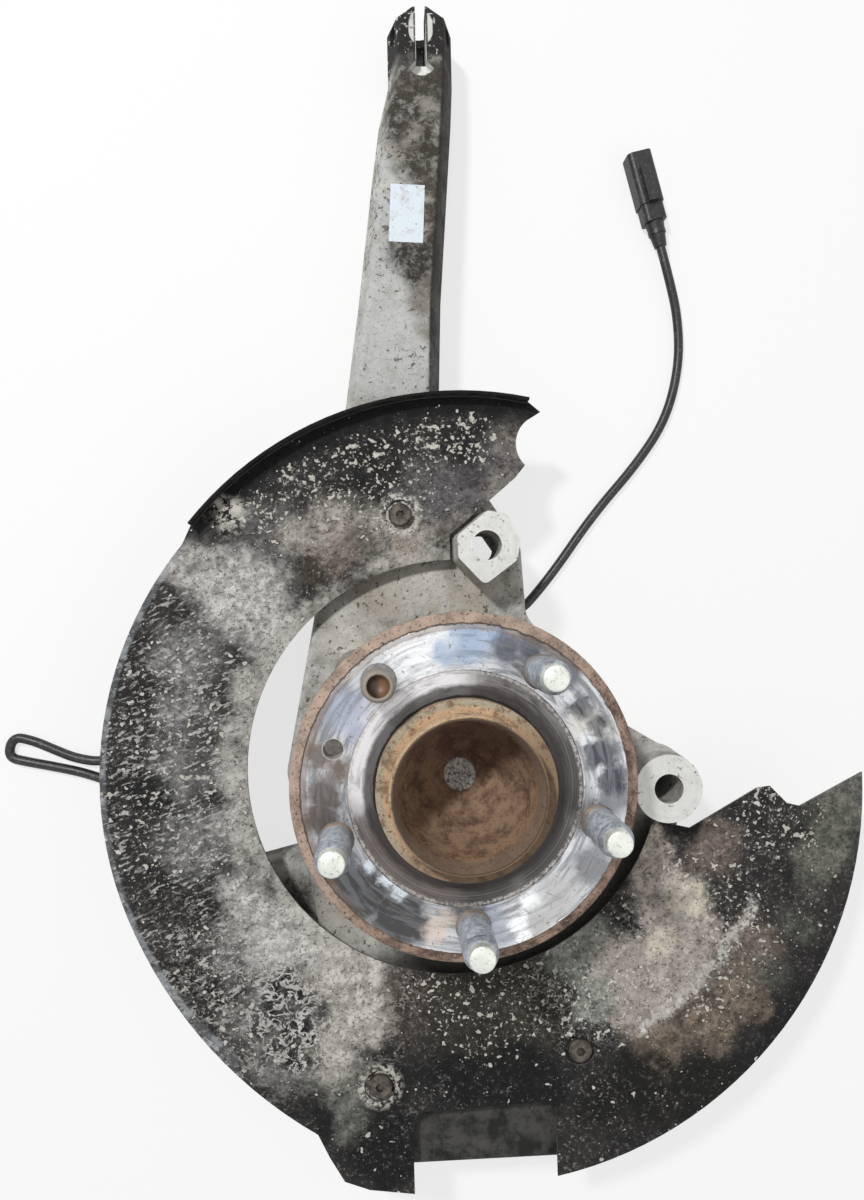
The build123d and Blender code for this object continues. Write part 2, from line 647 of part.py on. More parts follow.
with BuildPart() as knuckle:
    # Body with its rounded front edge
    with BuildSketch(Plane.XY.offset(CASTING_BACK_Z)) as body_outline:
        with BuildLine():
            Polyline(*CASTING_OUTLINE, close=True)
        make_face()
        fillet(body_outline.vertices(), CASTING_ROUND)
    extrude(amount=SEAT_Z - CASTING_BACK_Z)
    fillet(knuckle.faces().sort_by(Axis.Z)[-1].edges(), FRONT_ROUND)

    # Pockets in the back, between the rim wall, the barrel and the ribs
    with BuildSketch(Plane.XY.offset(CASTING_BACK_Z)) as pockets:
        with BuildLine():
            Polyline(*CASTING_OUTLINE, close=True)
        make_face()
        fillet(pockets.vertices(), CASTING_ROUND)
        offset(amount=-RIM_WALL, kind=Kind.INTERSECTION)
        Circle(BARREL_RADIUS, mode=Mode.SUBTRACT)
        with Locations((0, LOWER_END_Y)):
            Rectangle(2 * BARREL_RADIUS, 2 * LOWER_BOSS_LENGTH, mode=Mode.SUBTRACT)
        for rib_angle in RIB_ANGLES:
            with Locations(polar(RIB_REACH / 2, rib_angle)):
                Rectangle(RIB_REACH, RIB_WIDTH, rotation=rib_angle, mode=Mode.SUBTRACT)
    extrude(amount=SEAT_Z - WEB_THICKNESS - CASTING_BACK_Z, mode=Mode.SUBTRACT)

    # Rear ring around the bearing spigot, which the part lies on
    with BuildSketch(Plane.XY.offset(FLOOR_Z)):
        Circle(REAR_RING_RADIUS)
    extrude(amount=SEAT_Z - FLOOR_Z)

    # Upper arm, lofted from section to section
    for lower, upper in zip(ARM_SECTIONS, ARM_SECTIONS[1:]):
        for arm_y, left, right, front, back in (lower, upper):
            with BuildSketch(Plane.XZ.offset(-arm_y)) as arm_section:
                middle = (front + back) / 2
                with BuildLine():
                    Polyline(
                        (left + ARM_BEVEL, front),
                        (right - ARM_BEVEL, front),
                        (right, middle),
                        (right - ARM_BEVEL / 2, back),
                        (left + ARM_BEVEL / 2, back),
                        (left, middle),
                        close=True,
                    )
                make_face()
                fillet(arm_section.vertices(), ARM_ROUND)
        loft(ruled=True)

    # Caliper lugs, drafted from the casting to their machined faces
    with BuildSketch(Plane.XY.offset(CALIPER_FACE_Z)) as upper_lug:
        with BuildLine():
            Polyline(*UPPER_LUG_OUTLINE, close=True)
        make_face()
        fillet(upper_lug.vertices(), FRONT_ROUND)
        with Locations(LOWER_CALIPER):
            Circle(CALIPER_LUG_RADIUS)
    extrude(amount=SEAT_Z - CALIPER_FACE_Z - FRONT_ROUND, taper=-LUG_DRAFT)

    # Steering arm with its upright boss
    with BuildSketch(Plane.XY.offset(TIE_ROD_Z - STEERING_ARM_THICKNESS / 2)):
        with BuildLine():
            Polyline(*STEERING_ARM_OUTLINE, close=True)
        make_face()
    extrude(amount=STEERING_ARM_THICKNESS)
    with BuildSketch(Plane.XZ.offset(-TIE_ROD[1] - TIE_ROD_BOSS_LENGTH / 2)):
        with Locations((TIE_ROD[0], TIE_ROD_Z)):
            Circle(TIE_ROD_BOSS_RADIUS)
    extrude(amount=TIE_ROD_BOSS_LENGTH)

    # Lower ball joint bosses
    with BuildSketch(Plane.XZ.offset(-LOWER_END_Y)):
        for joint_x in LOWER_JOINTS_X:
            with Locations((joint_x, LOWER_BOSS_Z)):
                Circle(LOWER_BOSS_RADIUS)
    extrude(amount=-LOWER_BOSS_LENGTH)

    # Seats for the shield screws
    with BuildSketch(Plane.XY.offset(dimple_back_z)):
        with Locations(*SHIELD_SCREWS):
            Circle(SCREW_BOSS_RADIUS)
    extrude(amount=SEAT_Z - dimple_back_z - FRONT_ROUND)

    # Bores
    with BuildSketch(Plane.XY.offset(FLOOR_Z)):
        Circle(ring_radius + FIT)
    extrude(amount=SEAT_Z - FLOOR_Z, mode=Mode.SUBTRACT)
    with Locations((*UPPER_CALIPER, CALIPER_FACE_Z), (*LOWER_CALIPER, CALIPER_FACE_Z)):
        Hole(CALIPER_HOLE_RADIUS)
    with PolarLocations(BEARING_BOLT_CIRCLE_RADIUS, BEARING_BOLT_COUNT, FIRST_BEARING_BOLT_ANGLE):
        Hole(BEARING_BOLT_RADIUS + FIT)
    with BuildSketch(Plane.XY.offset(FLOOR_Z)):
        with PolarLocations(BEARING_BOLT_CIRCLE_RADIUS, BEARING_BOLT_COUNT, FIRST_BEARING_BOLT_ANGLE):
            Circle(BEARING_BOLT_POCKET_RADIUS)
    extrude(amount=BEARING_BOLT_SEAT_Z - FLOOR_Z, mode=Mode.SUBTRACT)
    with BuildSketch(Plane.XY.offset(dimple_back_z)):
        with Locations(*SHIELD_SCREWS):
            Circle(SCREW_RADIUS + FIT)
    extrude(amount=-SCREW_LENGTH, mode=Mode.SUBTRACT)
    with BuildSketch(Plane.XZ.offset(-TIE_ROD[1] - TIE_ROD_BOSS_LENGTH / 2)):
        with Locations((TIE_ROD[0], TIE_ROD_Z)):
            Circle(TIE_ROD_BORE_RADIUS)
    extrude(amount=TIE_ROD_BOSS_LENGTH, mode=Mode.SUBTRACT)
    with BuildSketch(Plane.XZ.offset(-LOWER_END_Y)):
        for joint_x in LOWER_JOINTS_X:
            with Locations((joint_x, LOWER_BOSS_Z)):
                Circle(LOWER_JOINT_RADIUS)
    extrude(amount=-LOWER_JOINT_DEPTH, mode=Mode.SUBTRACT)

    # Clamp for the upper ball joint: bore, slot and pinch bolt hole
    with BuildSketch(Plane.XZ.offset(-ARM_TOP_Y)):
        with Locations((CLAMP_CENTRE_X, CLAMP_BORE_Z)):
            Circle(CLAMP_BORE_RADIUS)
        with Locations((CLAMP_CENTRE_X, (CLAMP_BORE_Z + CLAMP_FRONT_Z) / 2)):
            Rectangle(CLAMP_SLOT_WIDTH, CLAMP_FRONT_Z - CLAMP_BORE_Z + OVERCUT)
    extrude(amount=CLAMP_SLOT_LENGTH, mode=Mode.SUBTRACT)
    with BuildSketch(Plane.YZ.offset(CLAMP_CENTRE_X)):
        with Locations((pinch_hole_y, PINCH_HOLE_Z)):
            Circle(PINCH_HOLE_RADIUS)
    extrude(amount=CLAMP_WIDTH, both=True, mode=Mode.SUBTRACT)

    # Machined oval on the clamp's front, the flared foot of its slot and a pin mark
    with BuildSketch(Plane.XY.offset(CLAMP_FRONT_Z)):
        with Locations((CLAMP_CENTRE_X, pinch_hole_y)):
            Ellipse(CLAMP_OVAL_WIDTH / 2, CLAMP_OVAL_HEIGHT / 2)
        with Locations((CLAMP_CENTRE_X + PIN_MARK_OFFSET[0], ARM_TOP_Y + PIN_MARK_OFFSET[1])):
            Circle(PIN_MARK_RADIUS)
    extrude(amount=-CLAMP_OVAL_DEPTH, mode=Mode.SUBTRACT)
    slot_foot_y = ARM_TOP_Y - CLAMP_SLOT_LENGTH
    with BuildSketch(Plane.XY.offset(CLAMP_FRONT_Z + FRONT_ROUND)):
        with BuildLine():
            flare = ThreePointArc(
                (CLAMP_CENTRE_X - SLOT_FLARE_WIDTH / 2, slot_foot_y - SLOT_FLARE_LENGTH / 2),
                (CLAMP_CENTRE_X, slot_foot_y - SLOT_FLARE_LENGTH),
                (CLAMP_CENTRE_X + SLOT_FLARE_WIDTH / 2, slot_foot_y - SLOT_FLARE_LENGTH / 2),
            )
            Polyline(
                flare @ 1,
                (CLAMP_CENTRE_X + CLAMP_SLOT_WIDTH / 2, slot_foot_y),
                (CLAMP_CENTRE_X - CLAMP_SLOT_WIDTH / 2, slot_foot_y),
                flare @ 0,
            )
        make_face()
    extrude(amount=-FRONT_ROUND - SLOT_FLARE_DEPTH, mode=Mode.SUBTRACT)

    # Lightening pocket along the back of the arm
    pocket_foot = ARM_SECTIONS[1]
    pocket_head = ARM_SECTIONS[3]
    with BuildSketch(Plane.XY.offset(FLOOR_Z)) as arm_pocket:
        with BuildLine():
            Polyline(
                (pocket_foot[1] + ARM_BEVEL + ARM_WALL, pocket_foot[0]),
                (pocket_foot[2] - ARM_BEVEL - ARM_WALL, pocket_foot[0]),
                (pocket_head[2] - ARM_BEVEL - ARM_WALL, pocket_head[0]),
                (pocket_head[1] + ARM_BEVEL + ARM_WALL, pocket_head[0]),
                close=True,
            )
        make_face()
        fillet(arm_pocket.vertices(), ARM_ROUND)
    extrude(amount=ARM_POCKET_DEPTH + pocket_head[4] - FLOOR_Z, mode=Mode.SUBTRACT)

    # Seat of the sensor, cut across the rear ring and the barrel
    with BuildSketch(Plane.XY.offset(FLOOR_Z)):
        with Locations((SENSOR_EAR_OFFSET / 2, -(ring_radius + BARREL_RADIUS) / 2 - FIT)):
            Rectangle(SENSOR_SEAT_WIDTH, BARREL_RADIUS - ring_radius + 2 * SENSOR_SEAT_MARGIN)
    extrude(amount=SENSOR_SLOT_Z - FLOOR_Z, mode=Mode.SUBTRACT)
    with BuildSketch(Plane.XY.offset(SENSOR_SLOT_Z)):
        with Locations((SENSOR_EAR_OFFSET, sensor_ear_y)):
            Circle(SENSOR_SCREW_RADIUS + FIT)
    extrude(amount=SENSOR_SCREW_LENGTH, mode=Mode.SUBTRACT)
write(knuckle.part, "knuckle")


# Dust shield: a flat C of sheet with a turned top lip, a stepped field and screw dimples
with BuildPart() as dust_shield:
    with BuildSketch(Plane.XY.offset(shield_back_z)):
        with BuildLine():
            ThreePointArc(LIP_START, LIP_MIDDLE, LIP_END)
            Line(LIP_END, LEFT_START)
            ThreePointArc(LEFT_START, LEFT_MIDDLE, LEFT_LOW)
            ThreePointArc(LEFT_LOW, LEFT_BOTTOM, FOOT_OUTLINE[0])
            Polyline(*FOOT_OUTLINE)
            ThreePointArc(FOOT_OUTLINE[-1], RIGHT_MIDDLE, RIGHT_END_OUTLINE[0])
            Polyline(*RIGHT_END_OUTLINE, opening_start)
            ThreePointArc(opening_start, opening_middle, opening_end)
            Polyline(opening_end, *TOP_END_OUTLINE)
            ThreePointArc(TOP_END_OUTLINE[-1], TOP_END_BITE, TOP_TIP_OUTLINE[0])
            Polyline(*TOP_TIP_OUTLINE, LIP_START)
        make_face()
    extrude(amount=SHEET)

    # Lip along the top edge
    with BuildSketch(Plane.XY.offset(shield_back_z)):
        with BuildLine():
            ThreePointArc(LIP_START, LIP_MIDDLE, LIP_END)
            Line(LIP_END, inset(LIP_END, SHEET))
            ThreePointArc(inset(LIP_END, SHEET), inset(LIP_MIDDLE, SHEET), inset(LIP_START, SHEET))
            Line(inset(LIP_START, SHEET), LIP_START)
        make_face()
    extrude(amount=SHEET + LIP_HEIGHT)

    # Stepped field at the lower right, pressed out of the sheet
    for field_z, inward, mode in ((SHIELD_Z, 0.0, Mode.ADD), (shield_back_z, SHEET, Mode.SUBTRACT)):
        with BuildSketch(Plane.XY.offset(field_z)) as field:
            with BuildLine():
                inner_arc = CenterArc(
                    (0, 0), EMBOSS_OUTER_RADIUS - EMBOSS_WIDTH + inward, EMBOSS_START_ANGLE, EMBOSS_ANGLE
                )
                outer_arc = CenterArc(
                    (0, 0), EMBOSS_OUTER_RADIUS - inward, EMBOSS_START_ANGLE, EMBOSS_ANGLE
                )
                Line(inner_arc @ 0, outer_arc @ 0)
                Line(inner_arc @ 1, outer_arc @ 1)
            make_face()
            fillet(field.vertices(), EMBOSS_ROUND)
        extrude(amount=EMBOSS_HEIGHT, taper=EMBOSS_DRAFT, mode=mode)

    # Dimples that seat on the casting
    with BuildSketch(Plane.XY.offset(shield_back_z)):
        with Locations(*SHIELD_SCREWS):
            Circle(DIMPLE_RADIUS)
    extrude(amount=-DIMPLE_DEPTH)
    with BuildSketch(Plane.XY.offset(SHIELD_Z)):
        with Locations(*SHIELD_SCREWS):
            Circle(DIMPLE_RADIUS - SHEET)
    extrude(amount=-DIMPLE_DEPTH, mode=Mode.SUBTRACT)
    with Locations(*SHIELD_SCREWS):
        Hole(SCREW_RADIUS + FIT)
write(dust_shield.part, "dust_shield")


# Shield screws with socket heads, seated in the dimples
for index, (screw_x, screw_y) in enumerate(SHIELD_SCREWS, start=1):
    dimple_z = SHIELD_Z - DIMPLE_DEPTH
    with BuildPart() as shield_screw:
        with BuildSketch(axial_plane(screw_x, screw_y)):
            with BuildLine():
                Polyline(
                    (0, dimple_back_z - SCREW_LENGTH + SCREW_TIP),
                    (SCREW_RADIUS - SCREW_TIP, dimple_back_z - SCREW_LENGTH + SCREW_TIP),
                    (SCREW_RADIUS, dimple_back_z - SCREW_LENGTH + 2 * SCREW_TIP),
                    (SCREW_RADIUS, dimple_z),
                    (SCREW_HEAD_RADIUS, dimple_z),
                    (SCREW_HEAD_RADIUS, dimple_z + SCREW_HEAD_HEIGHT - SCREW_TIP),
                    (SCREW_HEAD_RADIUS - SCREW_TIP, dimple_z + SCREW_HEAD_HEIGHT),
                    (0, dimple_z + SCREW_HEAD_HEIGHT),
                    close=True,
                )
            make_face()
        revolve(axis=Axis((screw_x, screw_y, 0), (0, 0, 1)))
        with BuildSketch(Plane.XY.offset(dimple_z + SCREW_HEAD_HEIGHT)):
            with Locations((screw_x, screw_y)):
                RegularPolygon(SCREW_SOCKET_RADIUS, 6)
        extrude(amount=-SCREW_SOCKET_DEPTH, mode=Mode.SUBTRACT)
    write(shield_screw.part, f"shield_screw_{index}")


# Wheel speed sensor: plate and ear on the casting, nose through the cap, stem for the cable
with BuildPart() as wheel_speed_sensor:
    with BuildSketch(Plane.XY.offset(SENSOR_SLOT_Z)):
        with Locations((0, sensor_middle_y)):
            RectangleRounded(
                SENSOR_PLATE_WIDTH, sensor_inner_y - sensor_ear_y + SENSOR_EAR_RADIUS, SENSOR_ROUND
            )
        with Locations((SENSOR_EAR_OFFSET, sensor_ear_y)):
            Circle(SENSOR_EAR_RADIUS)
        with Locations((SENSOR_EAR_OFFSET / 2, sensor_ear_y)):
            Rectangle(SENSOR_EAR_OFFSET, 2 * SENSOR_EAR_RADIUS)
    extrude(amount=-SENSOR_PLATE_THICKNESS)
    with BuildSketch(Plane.XY.offset(SENSOR_SLOT_Z)):
        with Locations((0, sensor_middle_y)):
            RectangleRounded(
                SENSOR_PLATE_WIDTH - 2 * SENSOR_ROUND, sensor_inner_y - sensor_ear_y, SENSOR_ROUND
            )
    extrude(amount=-SENSOR_BODY_HEIGHT)
    fillet(wheel_speed_sensor.faces().sort_by(Axis.Z)[0].edges(), SENSOR_ROUND / 2)
    with BuildSketch(Plane.XY.offset(SENSOR_SLOT_Z)):
        with Locations((0, -SENSOR_NOSE_REACH)):
            Circle(SENSOR_NOSE_RADIUS)
    extrude(amount=INNER_RING_INBOARD_Z - SENSOR_AIR_GAP - SENSOR_SLOT_Z)
    with BuildSketch(Plane.YZ):
        with BuildLine():
            Polyline(
                (sensor_inner_y - SENSOR_EAR_RADIUS, SENSOR_STEM_Z),
                (sensor_inner_y - SENSOR_EAR_RADIUS, SENSOR_STEM_Z + SENSOR_STEM_RADIUS),
                (SENSOR_STEM_TAPER - SENSOR_STEM_REACH, SENSOR_STEM_Z + SENSOR_STEM_RADIUS),
                (-SENSOR_STEM_REACH, SENSOR_STEM_Z + CABLE_RADIUS + SENSOR_STEM_WALL),
                (-SENSOR_STEM_REACH, SENSOR_STEM_Z),
                close=True,
            )
        make_face()
    revolve(axis=Axis((0, 0, SENSOR_STEM_Z), (0, 1, 0)))
    with BuildSketch(Plane.XY.offset(SENSOR_SLOT_Z)):
        with Locations((SENSOR_EAR_OFFSET, sensor_ear_y)):
            Circle(SENSOR_SCREW_RADIUS + FIT)
    extrude(amount=-SENSOR_BODY_HEIGHT, mode=Mode.SUBTRACT)
write(wheel_speed_sensor.part, "wheel_speed_sensor")


# Sensor screw
with BuildPart() as sensor_screw:
    with BuildSketch(Plane.XY.offset(sensor_plate_back_z)):
        with Locations((SENSOR_EAR_OFFSET, sensor_ear_y)):
            Circle(SENSOR_SCREW_RADIUS)
    extrude(amount=SENSOR_SCREW_LENGTH)
    with BuildSketch(Plane.XY.offset(sensor_plate_back_z)):
        with Locations((SENSOR_EAR_OFFSET, sensor_ear_y)):
            Circle(SCREW_HEAD_RADIUS)
    extrude(amount=-SCREW_HEAD_HEIGHT)
    with BuildSketch(Plane.XY.offset(sensor_plate_back_z - SCREW_HEAD_HEIGHT)):
        with Locations((SENSOR_EAR_OFFSET, sensor_ear_y)):
            RegularPolygon(SCREW_SOCKET_RADIUS, 6)
    extrude(amount=SCREW_SOCKET_DEPTH, mode=Mode.SUBTRACT)
write(sensor_screw.part, "sensor_screw")


# Sensor cable: straight runs joined by arcs as large as the runs allow
route_points = [Vector(*point) for point in CABLE_ROUTE]
bend_radii = []
for before, corner, after in zip(route_points, route_points[1:], route_points[2:]):
    run_in = corner - before
    run_out = after - corner
    half_turn = radians(run_in.get_angle(run_out)) / 2
    bend_radii.append(BEND_SHARE * min(run_in.length, run_out.length) / tan(half_turn))
with BuildPart() as sensor_cable:
    with BuildLine() as cable_path:
        FilletPolyline(*CABLE_ROUTE, radius=bend_radii)
    with BuildSketch(Plane(origin=cable_path.line @ 0, z_dir=cable_path.line % 0)):
        Circle(CABLE_RADIUS)
    sweep(path=cable_path.line)
write(sensor_cable.part, "sensor_cable")
cable_length = cable_path.wire().length
print("cable length", round(cable_length, 1))
print("cable radii", [round(radius, 1) for radius in bend_radii])
cable_volume_ratio = sensor_cable.part.volume / (pi * CABLE_RADIUS**2 * cable_length)
print("cable volume to section times length", round(cable_volume_ratio, 4))


# Connector at the end of the cable, in line with the last run
cable_end = route_points[-1]
connector_axis = (route_points[-1] - route_points[-2]).normalized()
cable_end_plane = Plane(
    origin=cable_end, x_dir=Vector(0, 0, 1).cross(connector_axis), z_dir=connector_axis
)
housing_plane = cable_end_plane.offset(BOOT_LENGTH)
mouth_plane = housing_plane.offset(CONNECTOR_LENGTH)

with BuildPart() as connector_boot:
    with BuildSketch(cable_end_plane):
        Circle(CABLE_RADIUS + SENSOR_STEM_WALL)
    with BuildSketch(housing_plane):
        Circle(BOOT_RADIUS)
    loft()
    with BuildSketch(cable_end_plane.offset(BOOT_LENGTH / 2)):
        Circle(BOOT_BEAD_RADIUS)
    extrude(amount=BOOT_BEAD_LENGTH)
write(connector_boot.part, "connector_boot")

with BuildPart() as cable_connector:
    with BuildSketch(housing_plane):
        RectangleRounded(2 * BOOT_RADIUS + CONNECTOR_WALL, 2 * BOOT_RADIUS + CONNECTOR_WALL, CONNECTOR_ROUND)
    extrude(amount=CONNECTOR_NECK)
    with BuildSketch(housing_plane.offset(CONNECTOR_NECK)):
        RectangleRounded(2 * CONNECTOR_RADIUS, 2 * CONNECTOR_RADIUS, CONNECTOR_ROUND)
    extrude(amount=CONNECTOR_LENGTH - CONNECTOR_NECK)
    with BuildSketch(mouth_plane):
        RectangleRounded(
            2 * (CONNECTOR_RADIUS - CONNECTOR_WALL),
            2 * (CONNECTOR_RADIUS - CONNECTOR_WALL),
            CONNECTOR_ROUND - CONNECTOR_WALL / 2,
        )
    extrude(amount=-CONNECTOR_CAVITY, mode=Mode.SUBTRACT)
    # Latch bar along the top, fixed at its front end
    with BuildSketch(housing_plane.offset(CONNECTOR_NECK)):
        with Locations((0, CONNECTOR_RADIUS + LATCH_GAP + LATCH_THICKNESS / 2)):
            Rectangle(LATCH_WIDTH, LATCH_THICKNESS)
    extrude(amount=LATCH_LENGTH)
    with BuildSketch(housing_plane.offset(CONNECTOR_NECK + LATCH_LENGTH)):
        with Locations((0, CONNECTOR_RADIUS + (LATCH_GAP + LATCH_THICKNESS) / 2 - CONNECTOR_WALL / 4)):
            Rectangle(LATCH_WIDTH, LATCH_GAP + LATCH_THICKNESS + CONNECTOR_WALL / 2)
    extrude(amount=-LATCH_THICKNESS)
write(cable_connector.part, "cable_connector")

with BuildPart() as connector_pins:
    with BuildSketch(mouth_plane.offset(-CONNECTOR_CAVITY)):
        with Locations((-PIN_SPACING / 2, 0), (PIN_SPACING / 2, 0)):
            Circle(PIN_RADIUS)
    extrude(amount=PIN_LENGTH)
write(connector_pins.part, "connector_pins")
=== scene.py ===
from math import cos, hypot, radians, sin, tau

import bpy
from mathutils import Euler, Matrix, Vector


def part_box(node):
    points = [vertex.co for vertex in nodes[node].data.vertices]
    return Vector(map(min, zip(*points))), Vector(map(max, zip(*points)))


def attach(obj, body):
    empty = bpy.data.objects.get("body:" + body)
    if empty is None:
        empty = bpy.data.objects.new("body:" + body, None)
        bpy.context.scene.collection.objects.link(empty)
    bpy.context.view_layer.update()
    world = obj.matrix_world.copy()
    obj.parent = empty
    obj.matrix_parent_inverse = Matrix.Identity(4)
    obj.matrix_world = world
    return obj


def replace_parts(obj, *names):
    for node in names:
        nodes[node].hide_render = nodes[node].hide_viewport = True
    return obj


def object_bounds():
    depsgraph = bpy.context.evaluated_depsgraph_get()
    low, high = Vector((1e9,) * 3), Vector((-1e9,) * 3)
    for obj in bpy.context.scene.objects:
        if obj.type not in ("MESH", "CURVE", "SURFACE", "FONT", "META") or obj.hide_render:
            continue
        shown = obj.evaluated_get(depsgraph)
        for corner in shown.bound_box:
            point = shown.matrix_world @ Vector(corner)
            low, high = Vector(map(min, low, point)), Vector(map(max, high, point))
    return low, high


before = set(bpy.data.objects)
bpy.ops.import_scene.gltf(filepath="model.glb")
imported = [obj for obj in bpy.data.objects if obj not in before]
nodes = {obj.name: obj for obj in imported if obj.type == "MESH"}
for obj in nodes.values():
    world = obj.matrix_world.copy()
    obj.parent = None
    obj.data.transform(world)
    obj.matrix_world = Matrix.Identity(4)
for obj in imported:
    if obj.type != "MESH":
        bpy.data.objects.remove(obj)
cad_low, cad_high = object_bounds()

MM = 0.001


# Camera, solved from the hub's circles and studs for an image of 864 by 1200 pixels
CAMERA_PLACE = (-0.0321, 0.0763, 0.3701)
CAMERA_TURN = (-0.265, 3.043, 1.204)  # degrees about X, Y and Z, from the row frame to the camera
FOCAL_PIXELS = 898.4
LONG_SIDE_PIXELS = 1200
SENSOR_WIDTH = 36.0
CLIP_NEAR = 0.01
CLIP_FAR = 50.0

camera_data = bpy.data.cameras.new("camera")
camera_data.sensor_width = SENSOR_WIDTH
camera_data.lens = SENSOR_WIDTH * FOCAL_PIXELS / LONG_SIDE_PIXELS
camera_data.clip_start = CLIP_NEAR
camera_data.clip_end = CLIP_FAR
camera = bpy.data.objects.new("camera", camera_data)
bpy.context.scene.collection.objects.link(camera)
to_camera = Euler([radians(angle) for angle in CAMERA_TURN], "XYZ").to_matrix()
camera.matrix_world = Matrix.Translation(CAMERA_PLACE) @ to_camera.transposed().to_4x4()
bpy.context.scene.camera = camera


def srgb(red, green, blue):
    """Linear colour from values of 0 to 255 as seen on a screen."""
    parts = [value / 255 for value in (red, green, blue)]
    return tuple(p / 12.92 if p <= 0.04045 else ((p + 0.055) / 1.055) ** 2.4 for p in parts)


class Surface:
    """A node material in the making. Each method adds nodes and returns the socket of the result."""

    def __init__(self, name, **settings):
        self.material = bpy.data.materials.new(name)
        self.material.use_nodes = True
        self.tree = self.material.node_tree
        self.shader = self.tree.nodes["Principled BSDF"]
        self.place = self.add("ShaderNodeTexCoord").outputs["Object"]
        self.set(**settings)

    def put(self, socket, value):
        """Link a socket to a result, or set it to a constant."""
        if isinstance(value, bpy.types.NodeSocket):
            self.tree.links.new(value, socket)
        elif socket.type == "RGBA":
            socket.default_value = (*value, 1.0)
        else:
            socket.default_value = value

    def set(self, **settings):
        """Give the shader's own sockets their values, with _ for the spaces in their names."""
        for key, value in settings.items():
            self.put(self.shader.inputs[key.replace("_", " ")], value)

    def add(self, kind, inputs=None, **settings):
        node = self.tree.nodes.new(kind)
        for key, value in settings.items():
            setattr(node, key, value)
        for key, value in (inputs or {}).items():
            self.put(node.inputs[key], value)
        return node

    def calc(self, operation, first, second=0.0):
        return self.add("ShaderNodeMath", {0: first, 1: second}, operation=operation).outputs[0]

    def vector(self, operation, first, second):
        return self.add("ShaderNodeVectorMath", {0: first, 1: second}, operation=operation).outputs[0]

    def both(self, *shares):
        """Product of several shares."""
        result = shares[0]
        for share in shares[1:]:
            result = self.calc("MULTIPLY", result, share)
        return result

    def any(self, *shares):
        """Largest of several shares."""
        result = shares[0]
        for share in shares[1:]:
            result = self.calc("MAXIMUM", result, share)
        return result

    def less(self, share):
        return self.calc("SUBTRACT", 1.0, share)

    def step(self, value, low, high):
        """Smooth change from 0 at low to 1 at high. Low may be the larger one."""
        inputs = {"Value": value, "From Min": low, "From Max": high}
        return self.add("ShaderNodeMapRange", inputs, interpolation_type="SMOOTHSTEP").outputs["Result"]

    def band(self, value, low, high, soft):
        """1 between low and high, 0 outside, in millimetres."""
        return self.both(
            self.step(value, (low - soft) * MM, low * MM), self.step(value, (high + soft) * MM, high * MM)
        )

    def scaled(self, value, low, high):
        """A share from 0 to 1 spread over the range from low to high."""
        inputs = {"Value": value, "To Min": low, "To Max": high}
        return self.add("ShaderNodeMapRange", inputs).outputs["Result"]

    def mix(self, share, first, second):
        node = self.add("ShaderNodeMix", data_type="RGBA")
        for socket, value in ((node.inputs[0], share), (node.inputs[6], first), (node.inputs[7], second)):
            self.put(socket, value)
        return node.outputs[2]

    def noise_node(self, size, detail, roughness, distortion, at):
        inputs = {
            "Vector": at or self.place,
            "Scale": 1 / size,
            "Detail": detail,
            "Roughness": roughness,
            "Distortion": distortion,
        }
        return self.add("ShaderNodeTexNoise", inputs)

    def noise(self, size, detail=4.0, roughness=0.55, distortion=0.0, at=None):
        """Cloudy pattern with patches of about the size given."""
        return self.noise_node(size, detail, roughness, distortion, at).outputs["Fac"]

    def warp(self, size, reach):
        """The place on the surface, moved about by up to half the reach, for ragged outlines."""
        wander = self.noise_node(size, 6.0, 0.68, 0.0, None).outputs["Color"]
        wander = self.vector("SUBTRACT", wander, (0.5, 0.5, 0.5))
        return self.vector("ADD", self.place, self.vector("MULTIPLY", wander, (reach, reach, reach)))

    def stretched(self, angle, along, across):
        """The place counted in lengths along a direction in the XY plane and widths across it."""
        inputs = {
            "Vector": self.place,
            "Rotation": (0.0, 0.0, radians(angle)),
            "Scale": (along, across, across),
        }
        return self.add("ShaderNodeMapping", inputs, vector_type="TEXTURE").outputs["Vector"]

    def blots(self, size, cover, detail=3.0, at=None):
        """Ragged blots: hardly any where cover is 0, a third of the surface where it is 0.7."""
        cloud = self.noise(size, detail, 0.6, 0.0, at)
        return self.step(self.calc("ADD", cloud, self.calc("MULTIPLY", cover, 0.3)), 0.75, 0.785)

    def veins(self, size, width, at=None):
        """Winding lines where a cloudy pattern crosses its middle value."""
        away = self.calc("ABSOLUTE", self.calc("SUBTRACT", self.noise(size, 3.0, 0.6, 0.4, at), 0.5))
        return self.step(away, width, width / 3)

    def coordinates(self):
        node = self.add("ShaderNodeSeparateXYZ", {"Vector": self.place})
        return node.outputs["X"], node.outputs["Y"], node.outputs["Z"]

    def normal(self):
        """X, Y and Z of the surface's direction."""
        direction = self.add("ShaderNodeTexCoord").outputs["Normal"]
        node = self.add("ShaderNodeSeparateXYZ", {"Vector": direction})
        return node.outputs["X"], node.outputs["Y"], node.outputs["Z"]

    def reach(self, x, y, centre_x=0.0, centre_y=0.0):
        """Distance in the XY plane from a centre in metres."""
        across = self.calc("SUBTRACT", x, centre_x) if centre_x else x
        along = self.calc("SUBTRACT", y, centre_y) if centre_y else y
        square = self.calc("ADD", self.both(across, across), self.both(along, along))
        return self.calc("SQRT", square)

    def joined(self, x, y, z):
        return self.add("ShaderNodeCombineXYZ", {"X": x, "Y": y, "Z": z}).outputs["Vector"]

    def spots(self, height, places, at=None):
        """Round patches at one height. Each place is x, y, radius and soft edge, in millimetres."""
        shares = []
        for x, y, radius, soft in places:
            inputs = {0: at or self.place, 1: (x * MM, y * MM, height * MM)}
            distance = self.add("ShaderNodeVectorMath", inputs, operation="DISTANCE").outputs["Value"]
            shares.append(self.step(distance, (radius + soft) * MM, radius * MM))
        return self.any(*shares)

